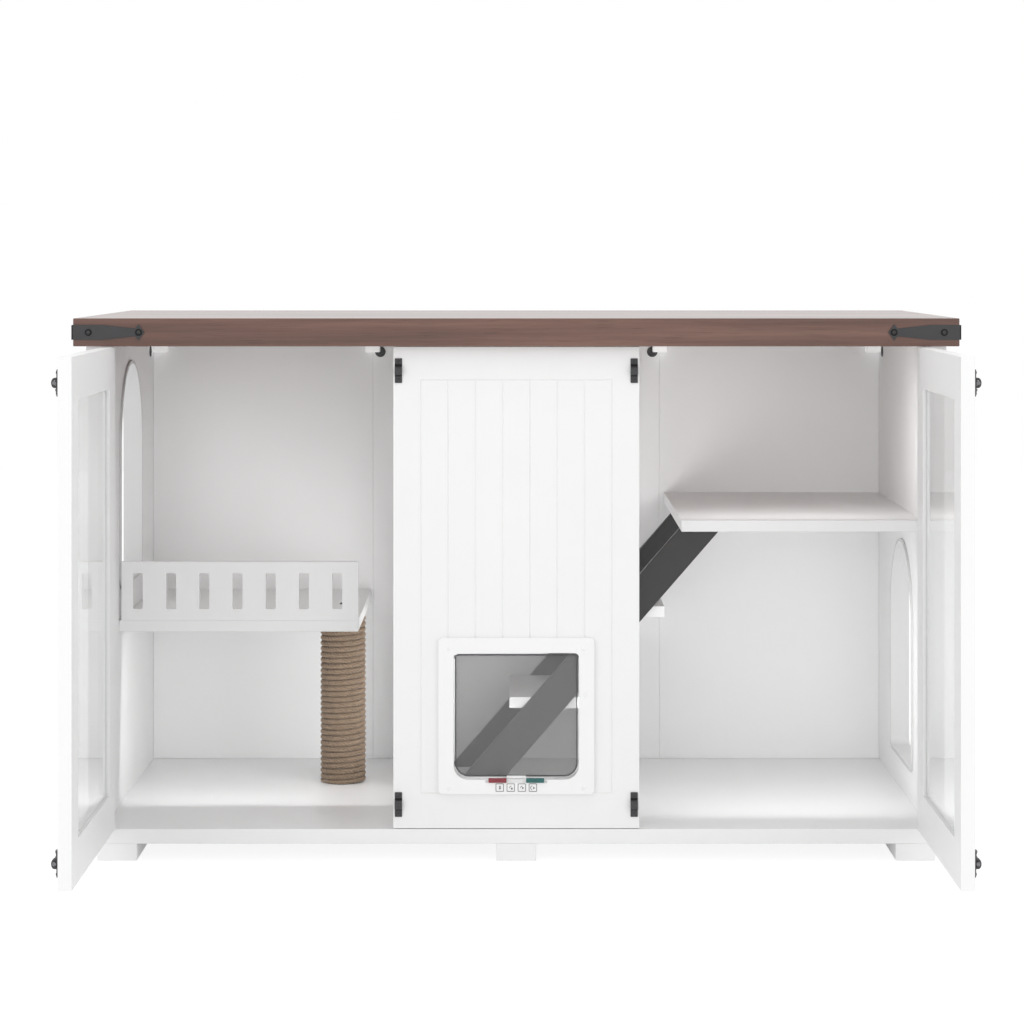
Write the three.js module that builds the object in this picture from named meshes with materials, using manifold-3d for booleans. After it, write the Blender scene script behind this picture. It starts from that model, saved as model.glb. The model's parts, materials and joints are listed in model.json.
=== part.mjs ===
// Cat litter box cabinet: a low sideboard with two glazed doors and a bead-board centre with a pet flap.
// Inside are a railed ledge over a scratching post, a shelf, and a stair that leads up to the shelf.
// Millimetres, +Z up, X to the right and Y to the back.
// The origin is on the floor, at the centre of the carcass footprint. The doors stand open square.
import * as THREE from "three";
import { mergeVertices } from "three/addons/utils/BufferGeometryUtils.js";
import Module from "manifold-3d";

const wasm = await Module();
wasm.setup();

// ---- Driving dimensions ----

const fit = 0.3; // clearance round a piece that turns, slides or drops in

// Carcass
const innerWidth = 1126;
const sideThickness = 22;
const sideHeight = 657;
const carcassDepth = 580;
const boardThickness = 16;
const baseThickness = 20;
const runnerHeight = 23;
const runnerWidth = 54;
const runnerInset = 15;
const backThickness = 9;
const backInset = 5;
const backJointFromLedge = 2;
const backJointGap = 0.6;
const cornerBlockSize = 22;
const cornerBlockHeight = 26;

// Top slab and its iron corner straps
const slabThickness = 38;
const slabSideOverhang = 15;
const slabFrontOverhang = 20;
const strapThickness = 2;
const strapHeight = 20;
const strapStraight = 40;
const strapNeckAt = 86;
const strapNeckHeight = 9;
const finialAt = 90;
const finialHeight = 22.5;
const strapLength = 99;
const strapScrewAt = 21.7;
const strapScrewDiameter = 9.5;
const strapScrewHeight = 3;

// Arched openings in the sides and the left divider, hung from the slab or the shelf above
const archWidth = 234;
const archHeight = 320;
const archFromTop = 30.5;
const archCornerRadius = 17;
const trimWidth = 5;
const trimLap = 1.5;
const trimProud = 3;

// Centre bay: front panel and dividers
const centreWidth = 334.6;
const panelGap = 1;
const grooveCount = 8;
const grooveFromEdge = 37.3;
const grooveWidth = 2.7;
const grooveDepth = 1.5;
const grooveTopBorder = 46;
const grooveBottomBorder = 49;
const stairwaySill = 197;
const stairwayHeight = 425;
const stairwayMargin = 19;

// Pet flap
const flapOpeningWidth = 170;
const flapOpeningHeight = 171.6;
const flapSill = 68.6;
const flapTopRadius = 6;
const flapBottomRadius = 19;
const flapSideBorder = 21;
const flapTopBorder = 20.5;
const flapBottomBorder = 20;
const flapFrameRadius = 6;
const flapFrameThickness = 8;
const flapInnerFrameThickness = 6;
const sleeveWall = 4.5;
const sleeveGap = 0.5;
const flapRodRadius = 2.5;
const flapRodDrop = 6.5;
const flapRodSeat = 2.5;
const flapPaneThickness = 3;
const flapPaneGap = 1.5;
const flapFloorGap = 2.3;
const tabWidth = 26;
const tabHeight = 2.8;
const tabThickness = 9;
const tabFloorGap = 1;

// Lock sliders on the flap frame
const sliderWidth = 24.4;
const sliderHeight = 6.3;
const sliderThickness = 2.5;
const sliderFromCentre = 25.5;
const sliderDrop = 2.6;
const sliderHeadRise = 1.75;
const sliderTravel = 6;
const sliderTongueWidth = 20;
const sliderTongueHeight = 2.4;
const channelDepth = 3;

// Left bay: ledge, railing and scratching post
const ledgeFromDivider = 56.7;
const ledgeBeforeArch = 4;
const ledgeBelowArch = 43.5;
const railHeight = 83;
const railThickness = 12;
const railSlotWidth = 14;
const railSlotHeight = 51;
const railSlotPitch = 47.1;
const railSlotFromSide = 26.5;
const railSlotRadius = 2;
const postFromLedgeEdge = 33;
const postDiameter = 67;
const ropeTurns = 24;
const ropeGap = 0.56;
const ropeEndMargin = 0.6;

// Right bay: shelf
const shelfFromDivider = 61.7;
const shelfFromFront = 79;
const shelfTop = 413;

// Stair
const stringerThickness = 16;
const stringerFootLength = 60;
const stairFootX = -70;
const stairRun = 345.5;
const treadWidth = 110;
const treadLength = 225;
const treadThickness = 16;
const stairFromBack = 61;
const treadTops = { lower: 140, upper: 272 };

// Doors and their butt hinges
const doorThickness = 17.5;
const doorSideGap = 2;
const doorHingeGap = 1.5;
const doorEndGap = 1;
const doorMember = 55;
const paneThickness = 3;
const paneRecess = 4.5;
const paneLap = 7;
const pinBeyondInner = 2.5;
const pinProud = 3.5;
const knuckleRadius = 3.2;
const pinRadius = 1.2;
const leafThickness = 1.2;
const leafProud = 0.3;
const leafLength = 25;
const doorLeafReach = 17;
const hingeHeight = 50;
const hingeFromEnd = 110;

// Barrel bolts and their keepers
const boltPlateLength = 45;
const boltPlateHeight = 33.5;
const boltPlateThickness = 1.8;
const boltFromDoorEdge = 3;
const boltFromDoorEnd = 32.5;
const boltRodRadius = 2.5;
const boltRodLength = 55;
const boltLoopWidth = 12.5;
const boltLoopWall = 1.2;
const boltLoopLength = 10;
const boltLoopInset = 2;
const boltKnobRadius = 2.2;
const boltKnobBall = 3.2;
const boltKnobLength = 10;
const boltKnobBack = 29;
const keeperWidth = 9.9;
const keeperFromPanelEdge = 2.1;

// ---- Levels and faces that several pieces share ----

const innerX = innerWidth / 2;
const outerX = innerX + sideThickness;
const frontY = -carcassDepth / 2;
const backY = carcassDepth / 2;
const backFaceY = backY - backInset - backThickness;
const floorZ = runnerHeight + baseThickness;
const topZ = floorZ + sideHeight;
const slabTopZ = topZ + slabThickness;
const centreX = centreWidth / 2;
const dividerInnerX = centreX - boardThickness;
const panelBackY = frontY + boardThickness;
const archY = (frontY + backY) / 2;
const shelfTopZ = floorZ + shelfTop;
const shelfBottomZ = shelfTopZ - boardThickness;
const archBottomZ = { high: topZ - archFromTop - archHeight, low: shelfBottomZ - archFromTop - archHeight };
const ledgeTopZ = archBottomZ.high - ledgeBelowArch;
const ledgeY = archY - archWidth / 2 - ledgeBeforeArch;
const ledgeEdgeX = -centreX - ledgeFromDivider;
const backJointX = -ledgeEdgeX - backJointFromLedge;
const stairWidth = treadLength + 2 * stringerThickness;
const stairY = backFaceY - stairFromBack - stairWidth;

// ---- Materials ----

const finish = (color, roughness, metalness = 0, opacity = 1) =>
  new THREE.MeshStandardMaterial({ color, roughness, metalness, opacity, transparent: opacity < 1 });
const materials = {
  walnut: () => finish(0x7a5548, 0.5),
  whiteBoard: () => finish(0xf4f4f4, 0.45),
  darkBoard: () => finish(0x4b4b4b, 0.5),
  whitePlastic: () => finish(0xf6f6f6, 0.35),
  greyPlastic: () => finish(0xd8d8d8, 0.5),
  clearPlastic: () => finish(0xe8eeee, 0.08, 0, 0.25),
  smokedPlastic: () => finish(0xa8a8a8, 0.1, 0, 0.4),
  redPlastic: () => finish(0x8a3a40, 0.4),
  tealPlastic: () => finish(0x2f6664, 0.4),
  blackIron: () => finish(0x3a3c3e, 0.55, 0.6),
  tube: () => finish(0xb99b72, 0.9),
  sisal: () => finish(0x9b7c58, 0.95),
};

// ---- Outlines and solids ----

// Points of an arc round (u, v), from one angle to another in degrees.
function arc(u, v, radius, from, to, steps) {
  const points = [];
  for (let i = 0; i <= steps; i++) {
    const angle = THREE.MathUtils.degToRad(from + ((to - from) * i) / steps);
    points.push(new THREE.Vector2(u + radius * Math.cos(angle), v + radius * Math.sin(angle)));
  }
  return points;
}

// The same points without those that repeat the one before.
function withoutRepeats(points) {
  return points.filter((p, i) => p.distanceTo(points[(i + points.length - 1) % points.length]) > 1e-4);
}

// A rectangle with rounded corners. A top radius of half its width makes an arch.
function rounded([u0, u1], [v0, v1], bottomRadius, topRadius = bottomRadius, steps = 6, topSteps = steps) {
  return withoutRepeats([
    ...arc(u0 + bottomRadius, v0 + bottomRadius, bottomRadius, 180, 270, steps),
    ...arc(u1 - bottomRadius, v0 + bottomRadius, bottomRadius, 270, 360, steps),
    ...arc(u1 - topRadius, v1 - topRadius, topRadius, 0, 90, topSteps),
    ...arc(u0 + topRadius, v1 - topRadius, topRadius, 90, 180, topSteps),
  ]);
}

function rectangle([u0, u1], [v0, v1]) {
  return [new THREE.Vector2(u0, v0), new THREE.Vector2(u1, v0), new THREE.Vector2(u1, v1), new THREE.Vector2(u0, v1)];
}

function arch(middle, width, bottom, height, grown = 0) {
  const half = width / 2 + grown;
  const corner = archCornerRadius + grown;
  return rounded([middle - half, middle + half], [bottom - grown, bottom + height + grown], corner, half, 4, 10);
}

// How an outline's two directions and its depth lie in space.
const planes = {
  level: { place: (u, v, w) => [u, v, w], flips: false },
  facingFront: { place: (u, v, w) => [u, w, v], flips: true },
  facingSide: { place: (u, v, w) => [w, u, v], flips: false },
};

// An outline, less its holes, drawn out from one level to another square to its plane.
function prism(plane, outline, holes, [from, to]) {
  const shape = new THREE.Shape(outline);
  shape.holes = holes.map((hole) => new THREE.Path(hole));
  const geometry = new THREE.ExtrudeGeometry(shape, { depth: 1, bevelEnabled: false });
  const position = geometry.getAttribute("position");
  for (let i = 0; i < position.count; i++) {
    const far = position.getZ(i) > 0.5;
    const w = far === plane.flips ? from : to;
    position.setXYZ(i, ...plane.place(position.getX(i), position.getY(i), w));
  }
  return geometry;
}

function block([x0, x1], [y0, y1], [z0, z1]) {
  const geometry = new THREE.BoxGeometry(1, 1, 1);
  const position = geometry.getAttribute("position");
  for (let i = 0; i < position.count; i++) {
    const x = position.getX(i) > 0 ? x1 : x0;
    const y = position.getY(i) > 0 ? y1 : y0;
    const z = position.getZ(i) > 0 ? z1 : z0;
    position.setXYZ(i, x, y, z);
  }
  return geometry;
}

// A round bar between two points.
function bar(start, end, radius, sides = 12) {
  const from = new THREE.Vector3(...start);
  const along = new THREE.Vector3(...end).sub(from);
  const geometry = new THREE.CylinderGeometry(radius, radius, along.length(), sides);
  geometry.translate(0, along.length() / 2, 0);
  geometry.applyQuaternion(new THREE.Quaternion().setFromUnitVectors(new THREE.Vector3(0, 1, 0), along.normalize()));
  return geometry.translate(...start);
}

function ball(centre, radius, flattenX = 1, flattenY = 1) {
  const geometry = new THREE.SphereGeometry(radius, 10, 6);
  return geometry.scale(flattenX, flattenY, 1).translate(...centre);
}

function solid(geometry) {
  const bare = geometry.clone();
  bare.deleteAttribute("normal");
  bare.deleteAttribute("uv");
  const merged = mergeVertices(bare, 1e-4);
  const vertProperties = merged.getAttribute("position").array;
  const triVerts = new Uint32Array(merged.index.array);
  return new wasm.Manifold(new wasm.Mesh({ numProp: 3, vertProperties, triVerts }));
}

function geometryOf(manifold) {
  const { vertProperties, triVerts, numProp } = manifold.getMesh();
  const geometry = new THREE.BufferGeometry();
  geometry.setAttribute("position", new THREE.BufferAttribute(new Float32Array(vertProperties), numProp));
  geometry.setIndex(new THREE.BufferAttribute(new Uint32Array(triVerts), 1));
  geometry.computeVertexNormals();
  return geometry;
}

const join = (...pieces) => geometryOf(pieces.map(solid).reduce((a, b) => a.add(b)));
const cut = (base, ...tools) => geometryOf(tools.map(solid).reduce((a, b) => a.subtract(b), solid(base)));

// A span of X on one side of the cabinet: side 1 is the right, -1 the left.
const across = (side, a, b) => [Math.min(side * a, side * b), Math.max(side * a, side * b)];

function add(group, name, geometry, material) {
  const mesh = new THREE.Mesh(geometry, material());
  mesh.name = name;
  group.add(mesh);
}

const cabinet = new THREE.Group();
const sides = [
  { name: "left", side: -1 },
  { name: "right", side: 1 },
];

// ---- Carcass ----

function addBaseAndRunners(group) {
  const depth = [frontY, backY];
  add(group, "base_board", block([-outerX, outerX], depth, [runnerHeight, floorZ]), materials.whiteBoard);
  const outerRunner = outerX - runnerInset;
  const places = {
    left: [-outerRunner, -outerRunner + runnerWidth],
    centre: [-runnerWidth / 2, runnerWidth / 2],
    right: [outerRunner - runnerWidth, outerRunner],
  };
  for (const [name, width] of Object.entries(places)) {
    add(group, `runner_${name}`, block(width, depth, [0, runnerHeight]), materials.whiteBoard);
  }
}

// The pockets in a side panel's inner face that take the fixed hinge leaves.
function leafPockets(side) {
  return hingeLevels().map((level) => {
    const half = hingeHeight / 2 + fit;
    const width = across(side, innerX - 1, innerX + leafThickness - leafProud);
    return block(width, [frontY - 1, frontY + leafLength + fit], [level - half, level + half]);
  });
}

// The left side's arch opens over the ledge, and the right side's on the floor.
function addSidePanel(group, name, side) {
  const outline = rectangle([frontY, backY], [floorZ, topZ]);
  const bottom = side < 0 ? archBottomZ.high : archBottomZ.low;
  const grown = (by) => arch(archY, archWidth, bottom, archHeight, by);
  const panel = prism(planes.facingSide, outline, [grown(0)], across(side, innerX, outerX));
  add(group, `side_panel_${name}`, cut(panel, ...leafPockets(side)), materials.whiteBoard);

  // The trim lines the arch and laps both faces.
  const ring = (by, from, to) => prism(planes.facingSide, grown(by), [grown(trimLap - trimWidth)], across(side, from, to));
  const trim = join(
    ring(trimLap, innerX - trimProud, innerX),
    ring(-fit, innerX - trimProud, outerX + trimProud),
    ring(trimLap, outerX, outerX + trimProud),
  );
  add(group, `arch_trim_${name}`, trim, materials.greyPlastic);
}

function addDividers(group) {
  const outline = rectangle([panelBackY, backFaceY], [floorZ, topZ]);
  const floorArch = arch(archY, archWidth, archBottomZ.low, archHeight);
  const leftThickness = across(-1, dividerInnerX, centreX);
  add(group, "divider_left", prism(planes.facingSide, outline, [floorArch], leftThickness), materials.whiteBoard);

  const stairMiddle = stairY + stairWidth / 2;
  const stairwayWidth = stairWidth + 2 * stairwayMargin;
  const stairway = arch(stairMiddle, stairwayWidth, floorZ + stairwaySill, stairwayHeight);
  const rightThickness = across(1, dividerInnerX, centreX);
  add(group, "divider_right", prism(planes.facingSide, outline, [stairway], rightThickness), materials.whiteBoard);
}

function addBack(group) {
  const depth = [backFaceY, backFaceY + backThickness];
  const height = [floorZ, topZ];
  const jointX = backJointX + backJointGap / 2;
  const centreHalf = backJointX - backJointGap / 2;
  add(group, "back_board_left", block([-innerX, -jointX], depth, height), materials.whiteBoard);
  add(group, "back_board_centre", block([-centreHalf, centreHalf], depth, height), materials.whiteBoard);
  add(group, "back_board_right", block([jointX, innerX], depth, height), materials.whiteBoard);
}

// Plastic blocks that screw the slab to the back corners and over the joints of the back.
function addCornerBlocks(group) {
  const depth = [backFaceY - cornerBlockSize, backFaceY];
  const height = [topZ - cornerBlockHeight, topZ];
  const half = cornerBlockSize / 2;
  for (const { name, side } of sides) {
    const atSide = across(side, innerX - cornerBlockSize, innerX);
    const atJoint = across(side, backJointX - half, backJointX + half);
    add(group, `corner_block_${name}`, block(atSide, depth, height), materials.whitePlastic);
    add(group, `joint_block_${name}`, block(atJoint, depth, height), materials.whitePlastic);
  }
}

// ---- Top slab and straps ----

const slabX = outerX + slabSideOverhang;
const slabFrontY = frontY - slabFrontOverhang;

// A strap leg's outline: straight, tapered to a neck, then a pointed finial. It starts at the slab's corner.
function strapOutline(fromCorner) {
  const middle = topZ + slabThickness / 2;
  const upper = [
    [0, strapHeight / 2],
    [strapStraight, strapHeight / 2],
    [strapNeckAt, strapNeckHeight / 2],
    [finialAt, finialHeight / 2],
  ];
  const lower = upper.map(([along, height]) => [along, -height]).reverse();
  const points = [...upper, [strapLength, 0], ...lower];
  return points.map(([along, height]) => new THREE.Vector2(fromCorner(along), middle + height));
}

function addSlab(group) {
  add(group, "top_slab", block([-slabX, slabX], [slabFrontY, backY], [topZ, slabTopZ]), materials.walnut);
  const middle = topZ + slabThickness / 2;
  const strapX = slabX + strapThickness;
  const strapY = slabFrontY - strapThickness;
  const domeFlat = strapScrewHeight / (strapScrewDiameter / 2);
  for (const { name, side } of sides) {
    const frontLeg = strapOutline((along) => side * (strapX - along));
    const sideLeg = strapOutline((along) => strapY + along);
    const screws = [strapScrewAt, finialAt].flatMap((along) => [
      ball([side * (strapX - along), strapY, middle], strapScrewDiameter / 2, 1, domeFlat),
      ball([side * strapX, strapY + along, middle], strapScrewDiameter / 2, domeFlat, 1),
    ]);
    const legs = [
      prism(planes.facingFront, frontLeg, [], [strapY, slabFrontY]),
      prism(planes.facingSide, sideLeg, [], across(side, slabX, strapX)),
    ];
    const slabRoom = block([-slabX, slabX], [slabFrontY, backY], [topZ, slabTopZ]);
    add(group, `corner_strap_${name}`, cut(join(...legs, ...screws), slabRoom), materials.blackIron);
  }
}

// ---- Centre bay ----

const flapBottomZ = floorZ + flapSill;
const flapTopZ = flapBottomZ + flapOpeningHeight;
const flapHalf = flapOpeningWidth / 2;
const frameHalf = flapHalf + flapSideBorder;
const frameHeight = [flapBottomZ - flapBottomBorder, flapTopZ + flapTopBorder];
const frameFrontY = frontY - flapFrameThickness;
const flapPivotZ = flapTopZ - flapRodDrop;
const flapPivotY = (frameFrontY + panelBackY) / 2;

// The flap opening's outline, grown all round by an amount.
function flapOutline(grown) {
  const half = flapHalf + grown;
  const height = [flapBottomZ - grown, flapTopZ + grown];
  return rounded([-half, half], height, flapBottomRadius + grown, flapTopRadius + grown);
}

// A vee across the panel's face, from one end to the other.
function groove(start, end) {
  const [u0, v0] = start;
  const [u1, v1] = end;
  const half = grooveWidth / 2;
  const upright = u0 === u1;
  const section = [
    new THREE.Vector2((upright ? u0 : v0) - half, frontY - fit),
    new THREE.Vector2((upright ? u0 : v0) + half, frontY - fit),
    new THREE.Vector2(upright ? u0 : v0, frontY + grooveDepth),
  ];
  if (upright) {
    return prism(planes.level, section, [], [v0, v1]);
  }
  const turned = section.map((p) => new THREE.Vector2(p.y, p.x));
  return prism(planes.facingSide, turned, [], [u0, u1]);
}

function addFrontPanel(group) {
  const height = [floorZ + panelGap, topZ - panelGap];
  const board = prism(
    planes.facingFront,
    rectangle([-centreX, centreX], height),
    [flapOutline(sleeveWall + sleeveGap)],
    [frontY, panelBackY],
  );
  const grooveX = centreX - grooveFromEdge;
  const pitch = (2 * grooveX) / (grooveCount - 1);
  const low = floorZ + grooveBottomBorder;
  const high = topZ - grooveTopBorder;
  const grooves = [groove([-grooveX, low], [grooveX, low]), groove([-grooveX, high], [grooveX, high])];
  for (let i = 0; i < grooveCount; i++) {
    const x = -grooveX + i * pitch;
    grooves.push(groove([x, low], [x, high]));
  }
  add(group, "front_panel", cut(board, ...grooves), materials.whiteBoard);
}

const channelZ = flapBottomZ - sliderDrop;
const channelHalf = sliderFromCentre + sliderTongueWidth / 2 + sliderTravel + fit;

function addFlapFrames(group) {
  const outline = rounded([-frameHalf, frameHalf], frameHeight, flapFrameRadius);
  const opening = flapOutline(0);
  const face = prism(planes.facingFront, outline, [opening], [frameFrontY, frontY]);
  const sleeve = prism(planes.facingFront, flapOutline(sleeveWall), [opening], [frameFrontY + 1, panelBackY]);
  const socketEnd = flapHalf + flapRodSeat + fit;
  const socket = bar([-socketEnd, flapPivotY, flapPivotZ], [socketEnd, flapPivotY, flapPivotZ], flapRodRadius + fit);
  const half = sliderTongueHeight / 2 + fit;
  const channel = block(
    [-channelHalf, channelHalf],
    [frameFrontY - 1, frameFrontY + channelDepth],
    [channelZ - half, channelZ + half],
  );
  add(group, "flap_outer_frame", cut(join(face, sleeve), socket, channel), materials.whitePlastic);

  const innerDepth = [panelBackY, panelBackY + flapInnerFrameThickness];
  add(group, "flap_inner_frame", prism(planes.facingFront, outline, [opening], innerDepth), materials.whitePlastic);
}

function addFlap(group) {
  const halfWidth = flapHalf - flapPaneGap;
  const paneBottomZ = flapBottomZ + flapFloorGap;
  const halfPane = flapPaneThickness / 2;
  const paneDepth = [flapPivotY - halfPane, flapPivotY + halfPane];
  const outline = rounded([-halfWidth, halfWidth], [paneBottomZ, flapPivotZ + flapRodRadius], flapBottomRadius, 1);
  const rodEnd = flapHalf + flapRodSeat;
  const rod = bar([-rodEnd, flapPivotY, flapPivotZ], [rodEnd, flapPivotY, flapPivotZ], flapRodRadius);
  add(group, "flap_pane", join(prism(planes.facingFront, outline, [], paneDepth), rod), materials.smokedPlastic);

  const tabBottomZ = flapBottomZ + tabFloorGap;
  const tab = block(
    [-tabWidth / 2, tabWidth / 2],
    [flapPivotY - tabThickness / 2, flapPivotY + tabThickness / 2],
    [tabBottomZ, tabBottomZ + tabHeight],
  );
  const slot = block(
    [-tabWidth, tabWidth],
    [paneDepth[0] - fit, paneDepth[1] + fit],
    [paneBottomZ - fit, tabBottomZ + tabHeight + 1],
  );
  add(group, "flap_magnet_tab", cut(tab, slot), materials.whitePlastic);
}

// Each slider's tongue runs in the frame's channel, and its head stands in front.
function addLockSliders(group) {
  for (const { name, side } of sides) {
    const middle = side * sliderFromCentre;
    const headZ = channelZ + sliderHeadRise;
    const head = block(
      [middle - sliderWidth / 2, middle + sliderWidth / 2],
      [frameFrontY - fit - sliderThickness, frameFrontY - fit],
      [headZ - sliderHeight / 2, headZ + sliderHeight / 2],
    );
    const tongue = block(
      [middle - sliderTongueWidth / 2, middle + sliderTongueWidth / 2],
      [frameFrontY - 1, frameFrontY + channelDepth - fit],
      [channelZ - sliderTongueHeight / 2, channelZ + sliderTongueHeight / 2],
    );
    const plastic = side < 0 ? materials.redPlastic : materials.tealPlastic;
    add(group, `lock_slider_${name}`, join(head, tongue), plastic);
  }
}

// ---- Left bay ----

function addLedge(group) {
  const width = [-innerX, ledgeEdgeX];
  add(
    group,
    "ledge_board",
    block(width, [ledgeY, backFaceY], [ledgeTopZ - boardThickness, ledgeTopZ]),
    materials.whiteBoard,
  );
  const slots = [];
  const slotCount = Math.floor((ledgeEdgeX + innerX - 2 * railSlotFromSide) / railSlotPitch) + 1;
  const slotMiddleZ = ledgeTopZ + railHeight / 2;
  for (let i = 0; i < slotCount; i++) {
    const x = -innerX + railSlotFromSide + i * railSlotPitch;
    const slotWidth = [x - railSlotWidth / 2, x + railSlotWidth / 2];
    const slotHeight = [slotMiddleZ - railSlotHeight / 2, slotMiddleZ + railSlotHeight / 2];
    slots.push(rounded(slotWidth, slotHeight, railSlotRadius, railSlotRadius, 3));
  }
  const railStartX = -innerX + trimProud + fit;
  const outline = rectangle([railStartX, ledgeEdgeX], [ledgeTopZ, ledgeTopZ + railHeight]);
  const railing = prism(planes.facingFront, outline, slots, [ledgeY, ledgeY + railThickness]);
  add(group, "ledge_railing", railing, materials.whiteBoard);
}

// A tube of flat sides along a path. Each ring's first corner faces away from the axis.
function tube(path, axis, radius, ringSides) {
  const corners = [];
  const triangles = [];
  path.forEach((point, i) => {
    const ahead = path[Math.min(i + 1, path.length - 1)];
    const behind = path[Math.max(i - 1, 0)];
    const along = ahead.clone().sub(behind).normalize();
    const outward = point.clone().sub(axis).setZ(0);
    outward.addScaledVector(along, -outward.dot(along)).normalize();
    const upward = along.clone().cross(outward);
    for (let k = 0; k < ringSides; k++) {
      const angle = (2 * Math.PI * k) / ringSides;
      const corner = point.clone().addScaledVector(outward, radius * Math.cos(angle));
      corners.push(...corner.addScaledVector(upward, radius * Math.sin(angle)).toArray());
    }
  });
  const last = (path.length - 1) * ringSides;
  for (let ring = 0; ring < last; ring += ringSides) {
    for (let k = 0; k < ringSides; k++) {
      const next = (k + 1) % ringSides;
      triangles.push(ring + k, ring + next, ring + ringSides + k);
      triangles.push(ring + next, ring + ringSides + next, ring + ringSides + k);
    }
  }
  for (let k = 1; k < ringSides - 1; k++) {
    triangles.push(0, k + 1, k);
    triangles.push(last, last + k, last + k + 1);
  }
  const geometry = new THREE.BufferGeometry();
  geometry.setAttribute("position", new THREE.Float32BufferAttribute(corners, 3));
  geometry.setIndex(triangles);
  geometry.computeVertexNormals();
  return geometry;
}

// The least clear distance from one turn of a path to another.
function leastGap(path, diameter, turnSteps) {
  let least = Infinity;
  for (let i = 0; i < path.length; i++) {
    for (let j = i + Math.floor(turnSteps / 2); j < path.length; j++) {
      least = Math.min(least, path[i].distanceTo(path[j]) - diameter);
    }
  }
  return least;
}

// The post is a wooden core wound from floor to ledge with one unbroken rope.
function addScratchingPost(group) {
  const height = ledgeTopZ - boardThickness - floorZ;
  const steps = 24;
  const pitch = (height - 2 * ropeEndMargin + ropeGap) / (ropeTurns + 1);
  const diameter = pitch - ropeGap;
  const windingRadius = (postDiameter - diameter) / 2;
  const x = ledgeEdgeX - postFromLedgeEdge;
  const y = (ledgeY + backFaceY) / 2;
  const startZ = floorZ + ropeEndMargin + diameter / 2;
  const path = [];
  for (let i = 0; i <= ropeTurns * steps; i++) {
    const angle = (2 * Math.PI * i) / steps;
    const z = startZ + (pitch * i) / steps;
    path.push(new THREE.Vector3(x + windingRadius * Math.cos(angle), y + windingRadius * Math.sin(angle), z));
  }
  // Both ends leave the winding straight, for one rope's thickness.
  const tangent = new THREE.Vector3(0, windingRadius, pitch / (2 * Math.PI)).normalize();
  path.unshift(path[0].clone().addScaledVector(tangent, -diameter));
  path.push(path[path.length - 1].clone().addScaledVector(tangent, diameter));
  console.log(`post rope: least gap to itself ${leastGap(path, diameter, steps).toFixed(2)} mm`);
  const rope = tube(path, new THREE.Vector3(x, y, 0), diameter / 2, 6);
  add(group, "post_rope", rope, materials.sisal);

  const coreRadius = (windingRadius - diameter / 2) * Math.cos(Math.PI / steps) - fit;
  const circle = withoutRepeats(arc(x, y, coreRadius, 0, 360, 2 * steps));
  add(group, "post_core", prism(planes.level, circle, [], [floorZ, floorZ + height]), materials.tube);
}

// ---- Right bay and stair ----

function addShelf(group) {
  const shelf = block(
    [centreX + shelfFromDivider, innerX],
    [frontY + shelfFromFront, backFaceY],
    [shelfBottomZ, shelfTopZ],
  );
  add(group, "right_shelf", shelf, materials.whiteBoard);
}

// The stair climbs from the centre bay's floor to the shelf's underside.
function addStair(group) {
  const half = stringerFootLength / 2;
  const outline = [
    new THREE.Vector2(stairFootX - half, floorZ),
    new THREE.Vector2(stairFootX + half, floorZ),
    new THREE.Vector2(stairFootX + half + stairRun, shelfBottomZ),
    new THREE.Vector2(stairFootX - half + stairRun, shelfBottomZ),
  ];
  const treadY = [stairY + stringerThickness, stairY + stringerThickness + treadLength];
  const places = { front: [stairY, treadY[0]], back: [treadY[1], treadY[1] + stringerThickness] };
  for (const [name, depth] of Object.entries(places)) {
    add(group, `stringer_${name}`, prism(planes.facingFront, outline, [], depth), materials.darkBoard);
  }
  const run = stairRun / (shelfBottomZ - floorZ);
  for (const [name, rise] of Object.entries(treadTops)) {
    const middle = stairFootX + run * (rise - treadThickness / 2);
    const width = [middle - treadWidth / 2, middle + treadWidth / 2];
    const tread = block(width, treadY, [floorZ + rise - treadThickness, floorZ + rise]);
    add(group, `tread_${name}`, tread, materials.whiteBoard);
  }
}

// ---- Doors ----

const pinX = innerX + pinBeyondInner;
const pinY = frontY - pinProud;
const doorBottomZ = floorZ + doorEndGap;
const doorTopZ = topZ - doorEndGap;
const doorHingeEdge = pinBeyondInner + doorHingeGap;
const doorFreeEdge = pinX - centreX - doorSideGap;
const doorInner = pinProud + doorThickness;

function hingeLevels() {
  return [floorZ + doorEndGap + hingeFromEnd, topZ - doorEndGap - hingeFromEnd];
}

// A block on an open door: how far it lies from the pin along the door, and how deep from the pin.
function doorBlock(side, [along0, along1], [deep0, deep1], height) {
  return block(across(side, pinX - deep1, pinX - deep0), [pinY - along1, pinY - along0], height);
}

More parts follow.
